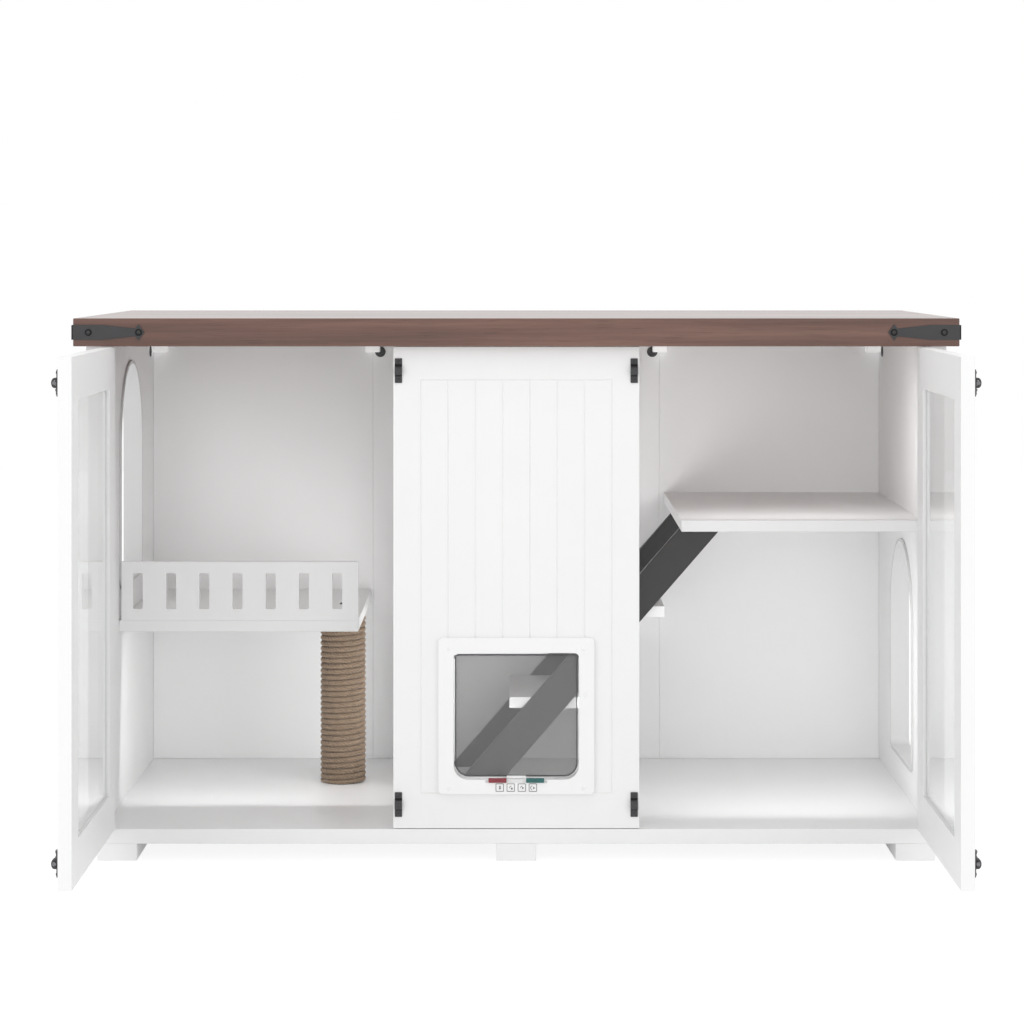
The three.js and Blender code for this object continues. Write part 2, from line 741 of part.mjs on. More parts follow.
function addDoor(group, name, side) {
  const length = [doorHingeEdge, doorFreeEdge];
  const depth = [pinProud, doorInner];
  const windowLength = [length[0] + doorMember, length[1] - doorMember];
  const windowHeight = [doorBottomZ + doorMember, doorTopZ - doorMember];
  const grown = ([low, high], by) => [low - by, high + by];
  const paneDepth = [doorInner - paneRecess - paneThickness, doorInner - paneRecess];

  const board = doorBlock(side, length, depth, [doorBottomZ, doorTopZ]);
  const window = doorBlock(side, windowLength, grown(depth, 1), windowHeight);
  const paneGroove = doorBlock(
    side,
    grown(windowLength, paneLap + fit),
    grown(paneDepth, fit),
    grown(windowHeight, paneLap + fit),
  );
  const pockets = hingeLevels().map((level) => {
    const half = hingeHeight / 2 + fit;
    const pocketDepth = [pinProud - 1, doorLeafReach + fit];
    return doorBlock(side, [length[0] - 1, length[0] + leafThickness - leafProud], pocketDepth, [
      level - half,
      level + half,
    ]);
  });
  add(group, `door_frame_${name}`, cut(board, window, paneGroove, ...pockets), materials.whiteBoard);
  const pane = doorBlock(side, grown(windowLength, paneLap), paneDepth, grown(windowHeight, paneLap));
  add(group, `door_pane_${name}`, pane, materials.clearPlastic);
}

// A butt hinge of three knuckles. The panel's leaf has the outer two, and the door's the middle one and the pin.
function addHinge(group, name, side, level) {
  const half = hingeHeight / 2;
  const third = hingeHeight / 6;
  const x = side * pinX;
  const knuckle = (low, high, radius) => bar([x, pinY, low], [x, pinY, high], radius);
  const fixedHeights = [
    [level - half, level - third - fit],
    [level + third + fit, level + half],
  ];
  const leafX = across(side, innerX - leafProud, innerX - leafProud + leafThickness);
  const fixedLeaf = block(leafX, [frontY, frontY + leafLength], [level - half, level + half]);
  const tongues = fixedHeights.map((height) => block(leafX, [pinY, frontY + 1], height));
  const knuckles = fixedHeights.map(([low, high]) => knuckle(low, high, knuckleRadius));
  const bore = knuckle(level - half - 1, level + half + 1, pinRadius + fit);
  add(group, `hinge_leaf_fixed_${name}`, cut(join(fixedLeaf, ...tongues, ...knuckles), bore), materials.blackIron);

  const middle = [level - third, level + third];
  const leafLengthSpan = [doorHingeEdge - leafProud, doorHingeEdge - leafProud + leafThickness];
  const doorLeaf = doorBlock(side, leafLengthSpan, [pinProud, doorLeafReach], [level - half, level + half]);
  const neck = doorBlock(side, leafLengthSpan, [-pinRadius, pinProud + 1], middle);
  const tongue = doorBlock(side, [pinRadius, leafLengthSpan[1]], [-pinRadius, pinRadius], middle);
  const moving = join(
    doorLeaf,
    neck,
    tongue,
    knuckle(middle[0], middle[1], knuckleRadius),
    knuckle(level - half, level + half, pinRadius),
  );
  add(group, `hinge_leaf_door_${name}`, moving, materials.blackIron);
}

// ---- Barrel bolts ----

const boltAxisProud = boltPlateThickness + fit + boltRodRadius;
const boltLoopProud = boltAxisProud + boltRodRadius + fit + boltLoopWall;
const boltTip = doorFreeEdge - boltFromDoorEdge;

// A loop's section: heights to both sides of the rod, and how far it stands off its plate's back.
function loopSection(level, proudAt) {
  const springing = boltAxisProud;
  const outer = [];
  for (const p of arc(0, 0, 1, 0, 180, 10)) {
    const height = level + (boltLoopWidth / 2) * p.x;
    const off = springing + (boltLoopProud - springing) * p.y;
    outer.push(new THREE.Vector2(proudAt(off), height));
  }
  outer.push(new THREE.Vector2(proudAt(0), level - boltLoopWidth / 2));
  outer.push(new THREE.Vector2(proudAt(0), level + boltLoopWidth / 2));
  return outer;
}

function addBolt(group, doorName, end, side, level) {
  const knobDown = end === "top" ? -1 : 1;
  const faceX = pinX - pinProud;
  const proudX = (off) => side * (faceX + off);
  const plateLength = [boltTip - boltPlateLength, boltTip];
  const plateDepth = [pinProud - boltPlateThickness, pinProud];
  const halfPlate = boltPlateHeight / 2;
  const plate = doorBlock(side, plateLength, plateDepth, [level - halfPlate, level + halfPlate]);
  const loopStarts = [plateLength[0] + boltLoopInset, plateLength[1] - boltLoopInset - boltLoopLength];
  const section = loopSection(level, proudX);
  const loops = loopStarts.map((start) =>
    prism(planes.facingFront, section, [], [pinY - start - boltLoopLength, pinY - start]),
  );
  const axisX = proudX(boltAxisProud);
  const bore = bar(
    [axisX, pinY - plateLength[0] + 1, level],
    [axisX, pinY - boltTip - 1, level],
    boltRodRadius + fit,
  );
  const housing = cut(join(plate, ...loops), bore);
  add(group, `bolt_housing_${doorName}_${end}`, housing, materials.blackIron);

  const knobY = pinY - boltTip + boltKnobBack;
  const knobEnd = level + knobDown * boltKnobLength;
  const rod = bar([axisX, pinY - boltTip + boltRodLength, level], [axisX, pinY - boltTip, level], boltRodRadius);
  const stem = bar([axisX, knobY, level], [axisX, knobY, knobEnd], boltKnobRadius, 8);
  const knob = ball([axisX, knobY, knobEnd], boltKnobBall, 0.7);
  add(group, `bolt_rod_${doorName}_${end}`, join(rod, stem, knob), materials.blackIron);
}

// A keeper on the front panel takes the bolt of the closed door.
function addKeeper(group, doorName, end, side, level) {
  const edge = centreX - keeperFromPanelEdge;
  const width = across(side, edge - keeperWidth, edge);
  const halfPlate = boltPlateHeight / 2;
  const plate = block(width, [frontY - boltPlateThickness, frontY], [level - halfPlate, level + halfPlate]);
  const section = loopSection(level, (off) => frontY - off);
  const loop = prism(planes.facingSide, section, [], width);
  const axisY = frontY - boltAxisProud;
  const bore = bar([width[0] - 1, axisY, level], [width[1] + 1, axisY, level], boltRodRadius + 2 * fit);
  add(group, `keeper_${doorName}_${end}`, cut(join(plate, loop), bore), materials.blackIron);
}

// ---- Assembly ----

const carcass = new THREE.Group();
addBaseAndRunners(carcass);
for (const { name, side } of sides) {
  addSidePanel(carcass, name, side);
}
addDividers(carcass);
addBack(carcass);
addCornerBlocks(carcass);
addSlab(carcass);

const centreBay = new THREE.Group();
addFrontPanel(centreBay);
addFlapFrames(centreBay);
addFlap(centreBay);
addLockSliders(centreBay);

const furniture = new THREE.Group();
addLedge(furniture);
addScratchingPost(furniture);
addShelf(furniture);
addStair(furniture);

const doors = new THREE.Group();
const boltLevels = { bottom: doorBottomZ + boltFromDoorEnd, top: doorTopZ - boltFromDoorEnd };
for (const { name, side } of sides) {
  addDoor(doors, name, side);
  const [low, high] = hingeLevels();
  addHinge(doors, `${name}_bottom`, side, low);
  addHinge(doors, `${name}_top`, side, high);
  for (const [end, level] of Object.entries(boltLevels)) {
    addBolt(doors, name, end, side, level);
    addKeeper(doors, name, end, side, level);
  }
}

cabinet.add(carcass, centreBay, furniture, doors);

export default cabinet;
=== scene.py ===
"""Dresses the cat litter box cabinet and sets it in a plain studio.

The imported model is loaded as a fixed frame. Each class below builds the pieces of one
sub-assembly round that frame, gives them their finish and lets them ride on their body.
Everything is in metres, with X to the right, Y to the back and Z up.
"""

from __future__ import annotations

import json
import logging
import math
import random
from dataclasses import dataclass
from enum import Enum
from typing import Callable, Iterable, Sequence

import bmesh
import bpy
from mathutils import Matrix, Vector
from mathutils.geometry import tessellate_polygon


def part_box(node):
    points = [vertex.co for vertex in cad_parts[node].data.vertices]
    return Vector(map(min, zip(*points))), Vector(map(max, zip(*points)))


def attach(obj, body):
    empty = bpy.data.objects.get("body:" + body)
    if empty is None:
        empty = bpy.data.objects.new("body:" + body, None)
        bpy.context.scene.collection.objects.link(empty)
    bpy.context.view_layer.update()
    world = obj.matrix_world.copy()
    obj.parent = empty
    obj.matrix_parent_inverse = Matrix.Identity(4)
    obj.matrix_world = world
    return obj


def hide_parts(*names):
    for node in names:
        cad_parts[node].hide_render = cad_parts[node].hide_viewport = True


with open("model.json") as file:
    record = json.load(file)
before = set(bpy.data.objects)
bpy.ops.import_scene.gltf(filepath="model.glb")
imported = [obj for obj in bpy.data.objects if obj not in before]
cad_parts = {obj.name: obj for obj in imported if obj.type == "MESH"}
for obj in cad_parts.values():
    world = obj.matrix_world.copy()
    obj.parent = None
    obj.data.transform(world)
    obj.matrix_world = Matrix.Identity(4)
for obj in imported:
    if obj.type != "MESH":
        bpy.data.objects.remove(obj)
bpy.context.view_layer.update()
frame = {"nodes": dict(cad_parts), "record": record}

LOG = logging.getLogger("cabinet")
MM = 0.001
SUNK = 0.2 * MM  # how far a screw or cap reaches into what carries it
FINE = 0.3 * MM  # the rounding of a thin piece's edges
FORWARD = Vector((0, -1, 0))
UP = Vector((0, 0, 1))

Point2 = tuple[float, float]
Colour = tuple[float, float, float]
BODY_OF = {n: body for body, nodes in frame["record"]["behaviour"]["bodies"].items() for n in nodes}


class Side(Enum):
    """The two sides of the cabinet, with the sign of their X."""

    LEFT = -1
    RIGHT = 1

    @property
    def label(self) -> str:
        """The side's name as the nodes spell it."""
        return self.name.lower()


class Plane(Enum):
    """How an outline lies in space: seen from the front, from the right side, or from above."""

    FRONT = "front"
    SIDE = "side"
    LEVEL = "level"

    def place(self, u: float, v: float, w: float) -> Vector:
        """Puts an outline's point at depth w.

        Args:
            u: the outline's first coordinate.
            v: the outline's second coordinate.
            w: the depth, square to the outline.

        Returns:
            The point in space.
        """
        if self is Plane.FRONT:
            return Vector((u, w, v))
        if self is Plane.SIDE:
            return Vector((w, u, v))
        return Vector((u, v, w))


# ---------------------------------------------------------------- finishes


def linear(hex_colour: int) -> Colour:
    """Turns a colour written as 0xRRGGBB into linear values.

    Args:
        hex_colour: the colour as it looks on a screen.

    Returns:
        Its red, green and blue for a shader.
    """
    channels = ((hex_colour >> shift & 255) / 255 for shift in (16, 8, 0))
    red, green, blue = (c / 12.92 if c <= 0.04045 else ((c + 0.055) / 1.055) ** 2.4 for c in channels)
    return red, green, blue


def dimmed(hex_colour: int, share: float) -> Colour:
    """A colour's linear values, each times a share."""
    red, green, blue = linear(hex_colour)
    return red * share, green * share, blue * share


class Shading:
    """A material's node tree, with short calls to add and link its nodes."""

    def __init__(self, name: str) -> None:
        """Starts a material that holds one Principled shader.

        Args:
            name: the material's name.
        """
        self.material = bpy.data.materials.new(name)
        self.material.use_nodes = True
        self.tree = self.material.node_tree
        self.tree.nodes.clear()
        self.shader = self.add("ShaderNodeBsdfPrincipled")
        output = self.add("ShaderNodeOutputMaterial")
        self.tree.links.new(self.shader.outputs[0], output.inputs["Surface"])

    def add(self, kind: str, settings: dict | None = None, **inputs: object) -> bpy.types.Node:
        """Adds a node.

        Args:
            kind: the node's type.
            settings: its properties.
            inputs: its inputs by name, with _ for a space, each a value or another node's output.

        Returns:
            The new node.
        """
        node = self.tree.nodes.new(kind)
        for key, value in (settings or {}).items():
            setattr(node, key, value)
        for key, value in inputs.items():
            self.set(node.inputs[key.replace("_", " ")], value)
        return node

    def set(self, socket: bpy.types.NodeSocket, value: object) -> None:
        """Sets an input, or links it to another node's output."""
        if isinstance(value, bpy.types.NodeSocket):
            self.tree.links.new(value, socket)
        else:
            socket.default_value = value

    def shade(self, **inputs: object) -> None:
        """Sets or links inputs of the Principled shader, named with _ for a space."""
        for key, value in inputs.items():
            self.set(self.shader.inputs[key.replace("_", " ")], value)

    def place(self, stretch: Sequence[float] = (1, 1, 1)) -> bpy.types.NodeSocket:
        """The piece's own coordinates in metres, scaled by a factor on each axis."""
        coordinates = self.add("ShaderNodeTexCoord")
        mapping = self.add("ShaderNodeMapping", Vector=coordinates.outputs["Object"], Scale=tuple(stretch))
        return mapping.outputs[0]

    def noise(
        self, scale: float, detail: float = 3, roughness: float = 0.55, stretch: Sequence[float] = (1, 1, 1)
    ) -> bpy.types.NodeSocket:
        """A noise in the piece's own coordinates.

        Args:
            scale: features per metre.
            detail: how many finer layers it has.
            roughness: how strong the finer layers are.
            stretch: a factor on each axis.

        Returns:
            The noise's value.
        """
        node = self.add(
            "ShaderNodeTexNoise", Vector=self.place(stretch), Scale=scale, Detail=detail, Roughness=roughness
        )
        return node.outputs[0]

    def ramp(
        self, factor: bpy.types.NodeSocket, stops: Sequence[tuple[float, Colour]]
    ) -> bpy.types.NodeSocket:
        """Colours along a value.

        Args:
            factor: the value.
            stops: places from 0 to 1 with their linear colours.

        Returns:
            The colour.
        """
        node = self.add("ShaderNodeValToRGB", Fac=factor)
        elements = node.color_ramp.elements
        while len(elements) < len(stops):
            elements.new(0.5)
        for element, (position, colour) in zip(elements, stops):
            element.position = position
            element.color = (*colour, 1)
        return node.outputs[0]

    def spread(self, factor: bpy.types.NodeSocket, low: float, high: float) -> bpy.types.NodeSocket:
        """Maps a noise's usual span, 0.3 to 0.7, onto low to high."""
        node = self.add(
            "ShaderNodeMapRange", Value=factor, From_Min=0.3, From_Max=0.7, To_Min=low, To_Max=high
        )
        return node.outputs[0]

    def blend(self, factor: object, first: object, second: object, mode: str = "MIX") -> bpy.types.NodeSocket:
        """Mixes two colours.

        Args:
            factor: the share of the second.
            first: a linear colour with alpha, or a socket.
            second: the same.
            mode: the mix's blend type.

        Returns:
            The mixed colour.
        """
        node = self.add("ShaderNodeMix", {"data_type": "RGBA", "blend_type": mode})
        # A Mix node has one set of sockets per data type: these are its factor and its colours.
        for place, value in ((0, factor), (6, first), (7, second)):
            self.set(node.inputs[place], value)
        return node.outputs[2]

    def bump(self, height: bpy.types.NodeSocket, strength: float, distance: float) -> None:
        """Raises the surface by a height, at a strength, over a distance in metres."""
        node = self.add("ShaderNodeBump", Height=height, Strength=strength, Distance=distance)
        normal = self.shader.inputs["Normal"]
        if normal.is_linked:
            self.set(node.inputs["Normal"], normal.links[0].from_socket)
        self.shade(Normal=node.outputs[0])


@dataclass(frozen=True)
class Finish:
    """A finish: its name, its slot in the record, its screen colour and its roughness."""

    name: str
    slot: str
    colour: int
    roughness: float

    def material(self) -> bpy.types.Material:
        """The finish's material, made once."""
        found = bpy.data.materials.get(self.name)
        if found:
            return found
        shading = Shading(self.name)
        self.fill(shading)
        return shading.material

    def fill(self, shading: Shading) -> None:
        """Gives the material its colour, gloss and texture, which each kind of finish does in its own way."""
        raise NotImplementedError


@dataclass(frozen=True)
class Coated(Finish):
    """Lacquered board, moulded plastic or powder-coated metal: an even colour over fine texture."""

    grain: float = 900
    grain_strength: float = 0.06
    mottle: float = 0.02
    metallic: float = 0.0
    specular: float = 0.5
    # glow is an emission strength: painted light on a part that is no lamp
    glow: float = 0.0

    def fill(self, shading: Shading) -> None:
        """Adds a faint mottle, uneven gloss, the texture of the coat and, where glow is above 0, a glow of
        painted light.

        Args:
            shading: the material to fill in.
        """
        darker = dimmed(self.colour, 1 - self.mottle)
        tone = shading.ramp(shading.noise(7, 4, 0.6), [(0.3, darker), (0.7, linear(self.colour))])
        gloss = shading.spread(shading.noise(45, 4, 0.6), self.roughness - 0.05, self.roughness + 0.05)
        shading.shade(Base_Color=tone, Roughness=gloss, Metallic=self.metallic)
        shading.shade(Specular_IOR_Level=self.specular)
        # Any emission here is painted light, not a lamp.
        shading.shade(Emission_Color=(1, 1, 1, 1), Emission_Strength=self.glow)
        shading.bump(shading.noise(self.grain, 2, 0.5), self.grain_strength, 0.3 * MM)


@dataclass(frozen=True)
class WalnutGrain(Finish):
    """Satin walnut laminate with its grain along X."""

    dark: int = 0x56392F
    light: int = 0x886657

    def fill(self, shading: Shading) -> None:
        """Lays long bands, finer streaks and short dark pores over each other.

        Args:
            shading: the material to fill in.
        """
        bands = shading.noise(13, 5, 0.6, (0.09, 1.5, 2.6))
        streaks = shading.noise(150, 5, 0.7, (0.022, 1, 1.2))
        pores = shading.noise(700, 2, 0.5, (0.03, 1, 1))
        broad = shading.ramp(
            bands, [(0.3, linear(self.dark)), (0.5, linear(self.colour)), (0.72, linear(self.light))]
        )
        fine = shading.ramp(streaks, [(0.3, (0.72, 0.68, 0.66)), (0.56, (1, 1, 1)), (0.8, (1.1, 1.09, 1.08))])
        marked = shading.blend(0.75, broad, fine, "MULTIPLY")
        pore = shading.ramp(pores, [(0.33, (0.6, 0.55, 0.52)), (0.42, (1, 1, 1))])
        shading.shade(Base_Color=shading.blend(0.6, marked, pore, "MULTIPLY"))
        shading.shade(Roughness=shading.spread(streaks, self.roughness - 0.06, self.roughness + 0.08))
        shading.shade(Coat_Weight=0.5, Coat_Roughness=0.12)
        shading.bump(streaks, 0.12, 0.3 * MM)
        shading.bump(pores, 0.1, 0.15 * MM)


@dataclass(frozen=True)
class TwistedSisal(Finish):
    """Natural sisal rope: pale and dark fibres that run with the strands."""

    dark: int = 0x58483A
    light: int = 0xAE9A82

    def fill(self, shading: Shading) -> None:
        """Mixes fibres of several tones, paints shade into the dents between strands and roughens it all.

        Args:
            shading: the material to fill in.
        """
        fibres = shading.noise(900, 6, 0.75, (1, 1, 2.4))
        tufts = shading.noise(130, 3, 0.6)
        tone = shading.ramp(
            fibres, [(0.3, linear(self.dark)), (0.5, linear(self.colour)), (0.7, linear(self.light))]
        )
        patches = shading.ramp(tufts, [(0.3, (0.78, 0.75, 0.72)), (0.65, (1.1, 1.08, 1.05))])
        coloured = shading.blend(0.8, tone, patches, "MULTIPLY")
        # The hollows between strands are darkened: painted shade.
        pointed = shading.add("ShaderNodeNewGeometry").outputs["Pointiness"]
        painted_dent_shade = shading.ramp(pointed, [(0.45, (0.22, 0.17, 0.13)), (0.515, (1, 1, 1))])
        shading.shade(Base_Color=shading.blend(1.0, coloured, painted_dent_shade, "MULTIPLY"))
        shading.shade(Roughness=self.roughness, Sheen_Weight=0.25, Sheen_Roughness=0.6)
        shading.bump(fibres, 0.7, 0.7 * MM)


@dataclass(frozen=True)
class ClearSheet(Finish):
    """Polished clear acrylic sheet."""

    def fill(self, shading: Shading) -> None:
        """Lets light through, with faint wipe marks in its gloss.

        Args:
            shading: the material to fill in.
        """
        wipe = shading.spread(shading.noise(9, 4, 0.6, (1, 3, 1)), 0.0, self.roughness)
        shading.shade(Base_Color=(*linear(self.colour), 1), Roughness=wipe, IOR=1.49, Transmission_Weight=1.0)


@dataclass(frozen=True)
class SmokedSheet(Finish):
    """Smoked acrylic that half hides what is behind it."""

    opacity: float = 0.6

    def fill(self, shading: Shading) -> None:
        """Mixes a grey body with what is behind, under a glossy face.

        Args:
            shading: the material to fill in.
        """
        cloud = shading.noise(11, 4, 0.6)
        tone = shading.ramp(cloud, [(0.3, dimmed(self.colour, 0.94)), (0.7, linear(self.colour))])
        gloss = shading.spread(shading.noise(30, 3), self.roughness - 0.03, self.roughness + 0.03)
        shading.shade(Base_Color=tone, Roughness=gloss, Alpha=self.opacity)


WHITE_BOARD = Coated("white_lacquered_board", "white_board", 0xF4F4F4, 0.4, 700, 0.05, 0.015)
WALNUT = WalnutGrain("walnut_laminate", "walnut", 0x6F4E42, 0.36)
DARK_BOARD = Coated("dark_laminated_board", "dark_board", 0x383838, 0.42, 500, 0.1, 0.08)
WHITE_PLASTIC = Coated("moulded_white_plastic", "white_plastic", 0xF6F6F6, 0.32, 1300, 0.04, 0.01)
# This plastic glows a little: painted light that keeps the blocks as bright as a front-lit white.
PAINTED_GLOW_PLASTIC = Coated("bright_white_plastic", "white_plastic", 0xFFFFFF, 0.3, 1300, 0.04, 0.005, glow=0.22)
GREY_TRIM = Coated("light_grey_trim", "grey_trim", 0xD2D2D2, 0.45, 1200, 0.05, 0.03)
BLACK_IRON = Coated("black_powder_coat", "black_iron", 0x38383A, 0.48, 2600, 0.35, 0.12, 0.0, 0.6)
# Near-black for painted shade: the rings round the strap screws and the strips beside the keepers' loops.
PAINTED_SHADE_BLACK = Coated("black_crease", "black_iron", 0x1B1B1C, 0.6, 2600, 0.3, 0.1, 0.0, 0.3)
ROD_STEEL = Coated("dull_steel_rod", "black_iron", 0x76767A, 0.42, 2200, 0.2, 0.1, 0.0, 0.6)
DARK_CAP = Coated("dark_cam_cap", "black_iron", 0x434343, 0.55, 1500, 0.1, 0.1)
DARK_SEAL = Coated("dark_grey_seal", "black_iron", 0x58585A, 0.7, 1800, 0.2, 0.1)
MARK_GREY = Coated("mark_grey", "black_iron", 0x858585, 0.6, 1500, 0.1, 0.05)
RED_PLASTIC = Coated("dull_red_plastic", "red_plastic", 0x8A3840, 0.38, 1500, 0.06, 0.05)
TEAL_PLASTIC = Coated("dull_teal_plastic", "teal_plastic", 0x2C6664, 0.38, 1500, 0.06, 0.05)
POST_WOOD = Coated("bare_post_wood", "post_wood", 0xB58E60, 0.7, 300, 0.3, 0.15)
SISAL = TwistedSisal("twisted_sisal", "sisal_rope", 0x87735F, 0.92)
CLEAR = ClearSheet("clear_acrylic_sheet", "clear_acrylic", 0xFBFCFC, 0.03)
SMOKED = SmokedSheet("smoked_acrylic_sheet", "smoked_acrylic", 0x747474, 0.12, 0.47)


# ---------------------------------------------------------------- mesh tools


def arc(centre: Point2, radius: float, start: float, end: float, steps: int) -> list[Point2]:
    """Points of an arc.

    Args:
        centre: its middle.
        radius: its radius.
        start: the first angle, in degrees.
        end: the last angle.
        steps: how many chords it has.

    Returns:
        steps + 1 points.
    """
    angles = (math.radians(start + (end - start) * i / steps) for i in range(steps + 1))
    return [(centre[0] + radius * math.cos(a), centre[1] + radius * math.sin(a)) for a in angles]


def rectangle(width: Point2, height: Point2) -> list[Point2]:
    """A rectangle's four corners, anticlockwise, from its span across and its span upwards."""
    (u0, u1), (v0, v1) = width, height
    return [(u0, v0), (u1, v0), (u1, v1), (u0, v1)]


def rounded(
    width: Point2, height: Point2, low_radius: float, top_radius: float, steps: int = 12
) -> list[Point2]:
    """A rectangle's outline with rounded corners.

    Args:
        width: its span across.
        height: its span upwards.
        low_radius: the radius of the two lower corners.
        top_radius: the radius of the two upper corners.
        steps: chords in a corner.

    Returns:
        Its points, anticlockwise.
    """
    (u0, u1), (v0, v1) = width, height
    return [
        *arc((u0 + low_radius, v0 + low_radius), low_radius, 180, 270, steps),
        *arc((u1 - low_radius, v0 + low_radius), low_radius, 270, 360, steps),
        *arc((u1 - top_radius, v1 - top_radius), top_radius, 0, 90, steps),
        *arc((u0 + top_radius, v1 - top_radius), top_radius, 90, 180, steps),
    ]


def ease_edges(mesh: bmesh.types.BMesh, width: float, segments: int = 3, limit: float = 50) -> None:
    """Rounds every edge that turns more sharply than a limit.

    Args:
        mesh: the mesh to change.
        width: the rounding's width.
        segments: how many faces it has.
        limit: the angle in degrees above which an edge is rounded.
    """
    bmesh.ops.dissolve_limit(mesh, angle_limit=math.radians(0.4), verts=mesh.verts, edges=mesh.edges)
    sharp = [e for e in mesh.edges if e.is_manifold and e.calc_face_angle(0) > math.radians(limit)]
    bmesh.ops.bevel(
        mesh, geom=sharp, offset=width, segments=segments, profile=0.5, affect="EDGES", clamp_overlap=True
    )


def extruded(
    plane: Plane, outline: Sequence[Point2], depth: Point2, holes: Iterable[Sequence[Point2]] = ()
) -> bmesh.types.BMesh:
    """A plate: an outline less its holes, from one depth to another.

    Args:
        plane: how the outline lies.
        outline: its outer points.
        depth: the two depths.
        holes: the outlines of its holes.

    Returns:
        A closed mesh.
    """
    loops = [list(outline), *[list(hole) for hole in holes]]
    mesh = bmesh.new()
    layers = [[[mesh.verts.new(plane.place(u, v, w)) for u, v in loop] for loop in loops] for w in depth]
    flat = [[vert for loop in layer for vert in loop] for layer in layers]
    for triangle in tessellate_polygon([[Vector((u, v, 0)) for u, v in loop] for loop in loops]):
        for layer in flat:
            mesh.faces.new([layer[i] for i in triangle])
    for near, far in zip(*layers):
        for i in range(len(near)):
            j = (i + 1) % len(near)
            mesh.faces.new([near[i], near[j], far[j], far[i]])
    bmesh.ops.recalc_face_normals(mesh, faces=mesh.faces)
    return mesh


def box_mesh(low: Sequence[float], high: Sequence[float]) -> bmesh.types.BMesh:
    """A block between two corners."""
    mesh = bmesh.new()
    size = Vector(high) - Vector(low)
    centre = (Vector(high) + Vector(low)) / 2
    bmesh.ops.create_cube(mesh, size=1, matrix=Matrix.Translation(centre) @ Matrix.Diagonal((*size, 1)))
    return mesh


def upright(x: float, width: float, depth: Point2, height: Point2) -> bmesh.types.BMesh:
    """A block of a width centred on x, between two depths and two heights."""
    return box_mesh((x - width / 2, depth[0], height[0]), (x + width / 2, depth[1], height[1]))


def turned(profile: Sequence[Point2], base: Vector, axis: Vector, sides: int = 32) -> bmesh.types.BMesh:
    """A turned piece.

    Args:
        profile: radius and height of each ring, from one end on the axis to the other.
        base: where height 0 lies.
        axis: the way that height grows.
        sides: faces round the axis.

    Returns:
        A closed mesh.
    """
    mesh = bmesh.new()
    verts = [mesh.verts.new((radius, 0, height)) for radius, height in profile]
    edges = [mesh.edges.new(pair) for pair in zip(verts, verts[1:])]
    bmesh.ops.spin(
        mesh, geom=[*verts, *edges], cent=(0, 0, 0), axis=(0, 0, 1), angle=math.tau, steps=sides
    )
    bmesh.ops.remove_doubles(mesh, verts=mesh.verts, dist=1e-7)
    bmesh.ops.recalc_face_normals(mesh, faces=mesh.faces)
    turn = axis.normalized().to_track_quat("Z", "Y").to_matrix().to_4x4()
    mesh.transform(Matrix.Translation(base) @ turn)
    return mesh


def joined(meshes: Iterable[bmesh.types.BMesh]) -> bmesh.types.BMesh:
    """One mesh of several closed ones, which are used up."""
    whole = bmesh.new()
    for mesh in meshes:
        part = bpy.data.meshes.new("part")
        mesh.to_mesh(part)
        mesh.free()
        whole.from_mesh(part)
        bpy.data.meshes.remove(part)
    return whole


def dress(
    name: str,
    mesh: bmesh.types.BMesh,
    finish: Finish,
    body: str,
    replaces: Sequence[str] = (),
    smooth: float = 35,
) -> bpy.types.Object:
    """Makes a piece of the object.

    Args:
        name: the piece's name.
        mesh: its mesh, which is used up.
        finish: its finish.
        body: the body that it rides on.
        replaces: the nodes that it stands for.
        smooth: the angle in degrees below which faces shade as one.

    Returns:
        The piece.
    """
    data = bpy.data.meshes.new(name)
    mesh.to_mesh(data)
    mesh.free()
    data.shade_smooth()
    data.set_sharp_from_angle(angle=math.radians(smooth))
    piece = bpy.data.objects.new(name, data)
    bpy.context.scene.collection.objects.link(piece)
    weighting = piece.modifiers.new("weighted_normals", "WEIGHTED_NORMAL")
    weighting.keep_sharp = True
    data.materials.append(finish.material())
    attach(piece, body)
    if replaces:
        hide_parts(*replaces)
    LOG.info("%s: %d faces, rides on %s", name, len(data.polygons), body)
    return piece


def eased_copy(
    node: str, finish: Finish, ease: float, segments: int = 3, limit: float = 50
) -> bpy.types.Object:
    """A node's shape with its sharp edges rounded, in place of the node.

    Args:
        node: the CAD node.
        finish: its finish.
        ease: the rounding's width.
        segments: faces in the rounding.
        limit: the angle in degrees above which an edge is rounded.

    Returns:
        The piece.
    """
    mesh = bmesh.new()
    mesh.from_mesh(frame["nodes"][node].data)
    bmesh.ops.remove_doubles(mesh, verts=mesh.verts, dist=2e-6)
    ease_edges(mesh, ease, segments, limit)
    return dress(f"{node}_eased", mesh, finish, BODY_OF[node], [node])


def span(node: str) -> tuple[Vector, Vector]:
    """The low and high corners of a CAD node."""
    low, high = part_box(node)
    return Vector(low), Vector(high)


def plate(
    plane: Plane, width: Point2, height: Point2, depth: Point2, radius: float, ease: float = FINE
) -> bmesh.types.BMesh:
    """A thin plate with rounded corners and eased edges.

    Args:
        plane: how it lies.
        width: its span across.
        height: its span upwards.
        depth: its span square to its face.
        radius: its corners' radius.
        ease: the rounding of its edges.

    Returns:
        A closed mesh.
    """
    mesh = extruded(plane, rounded(width, height, radius, radius, 6), depth)
    ease_edges(mesh, ease, 2)
    return mesh


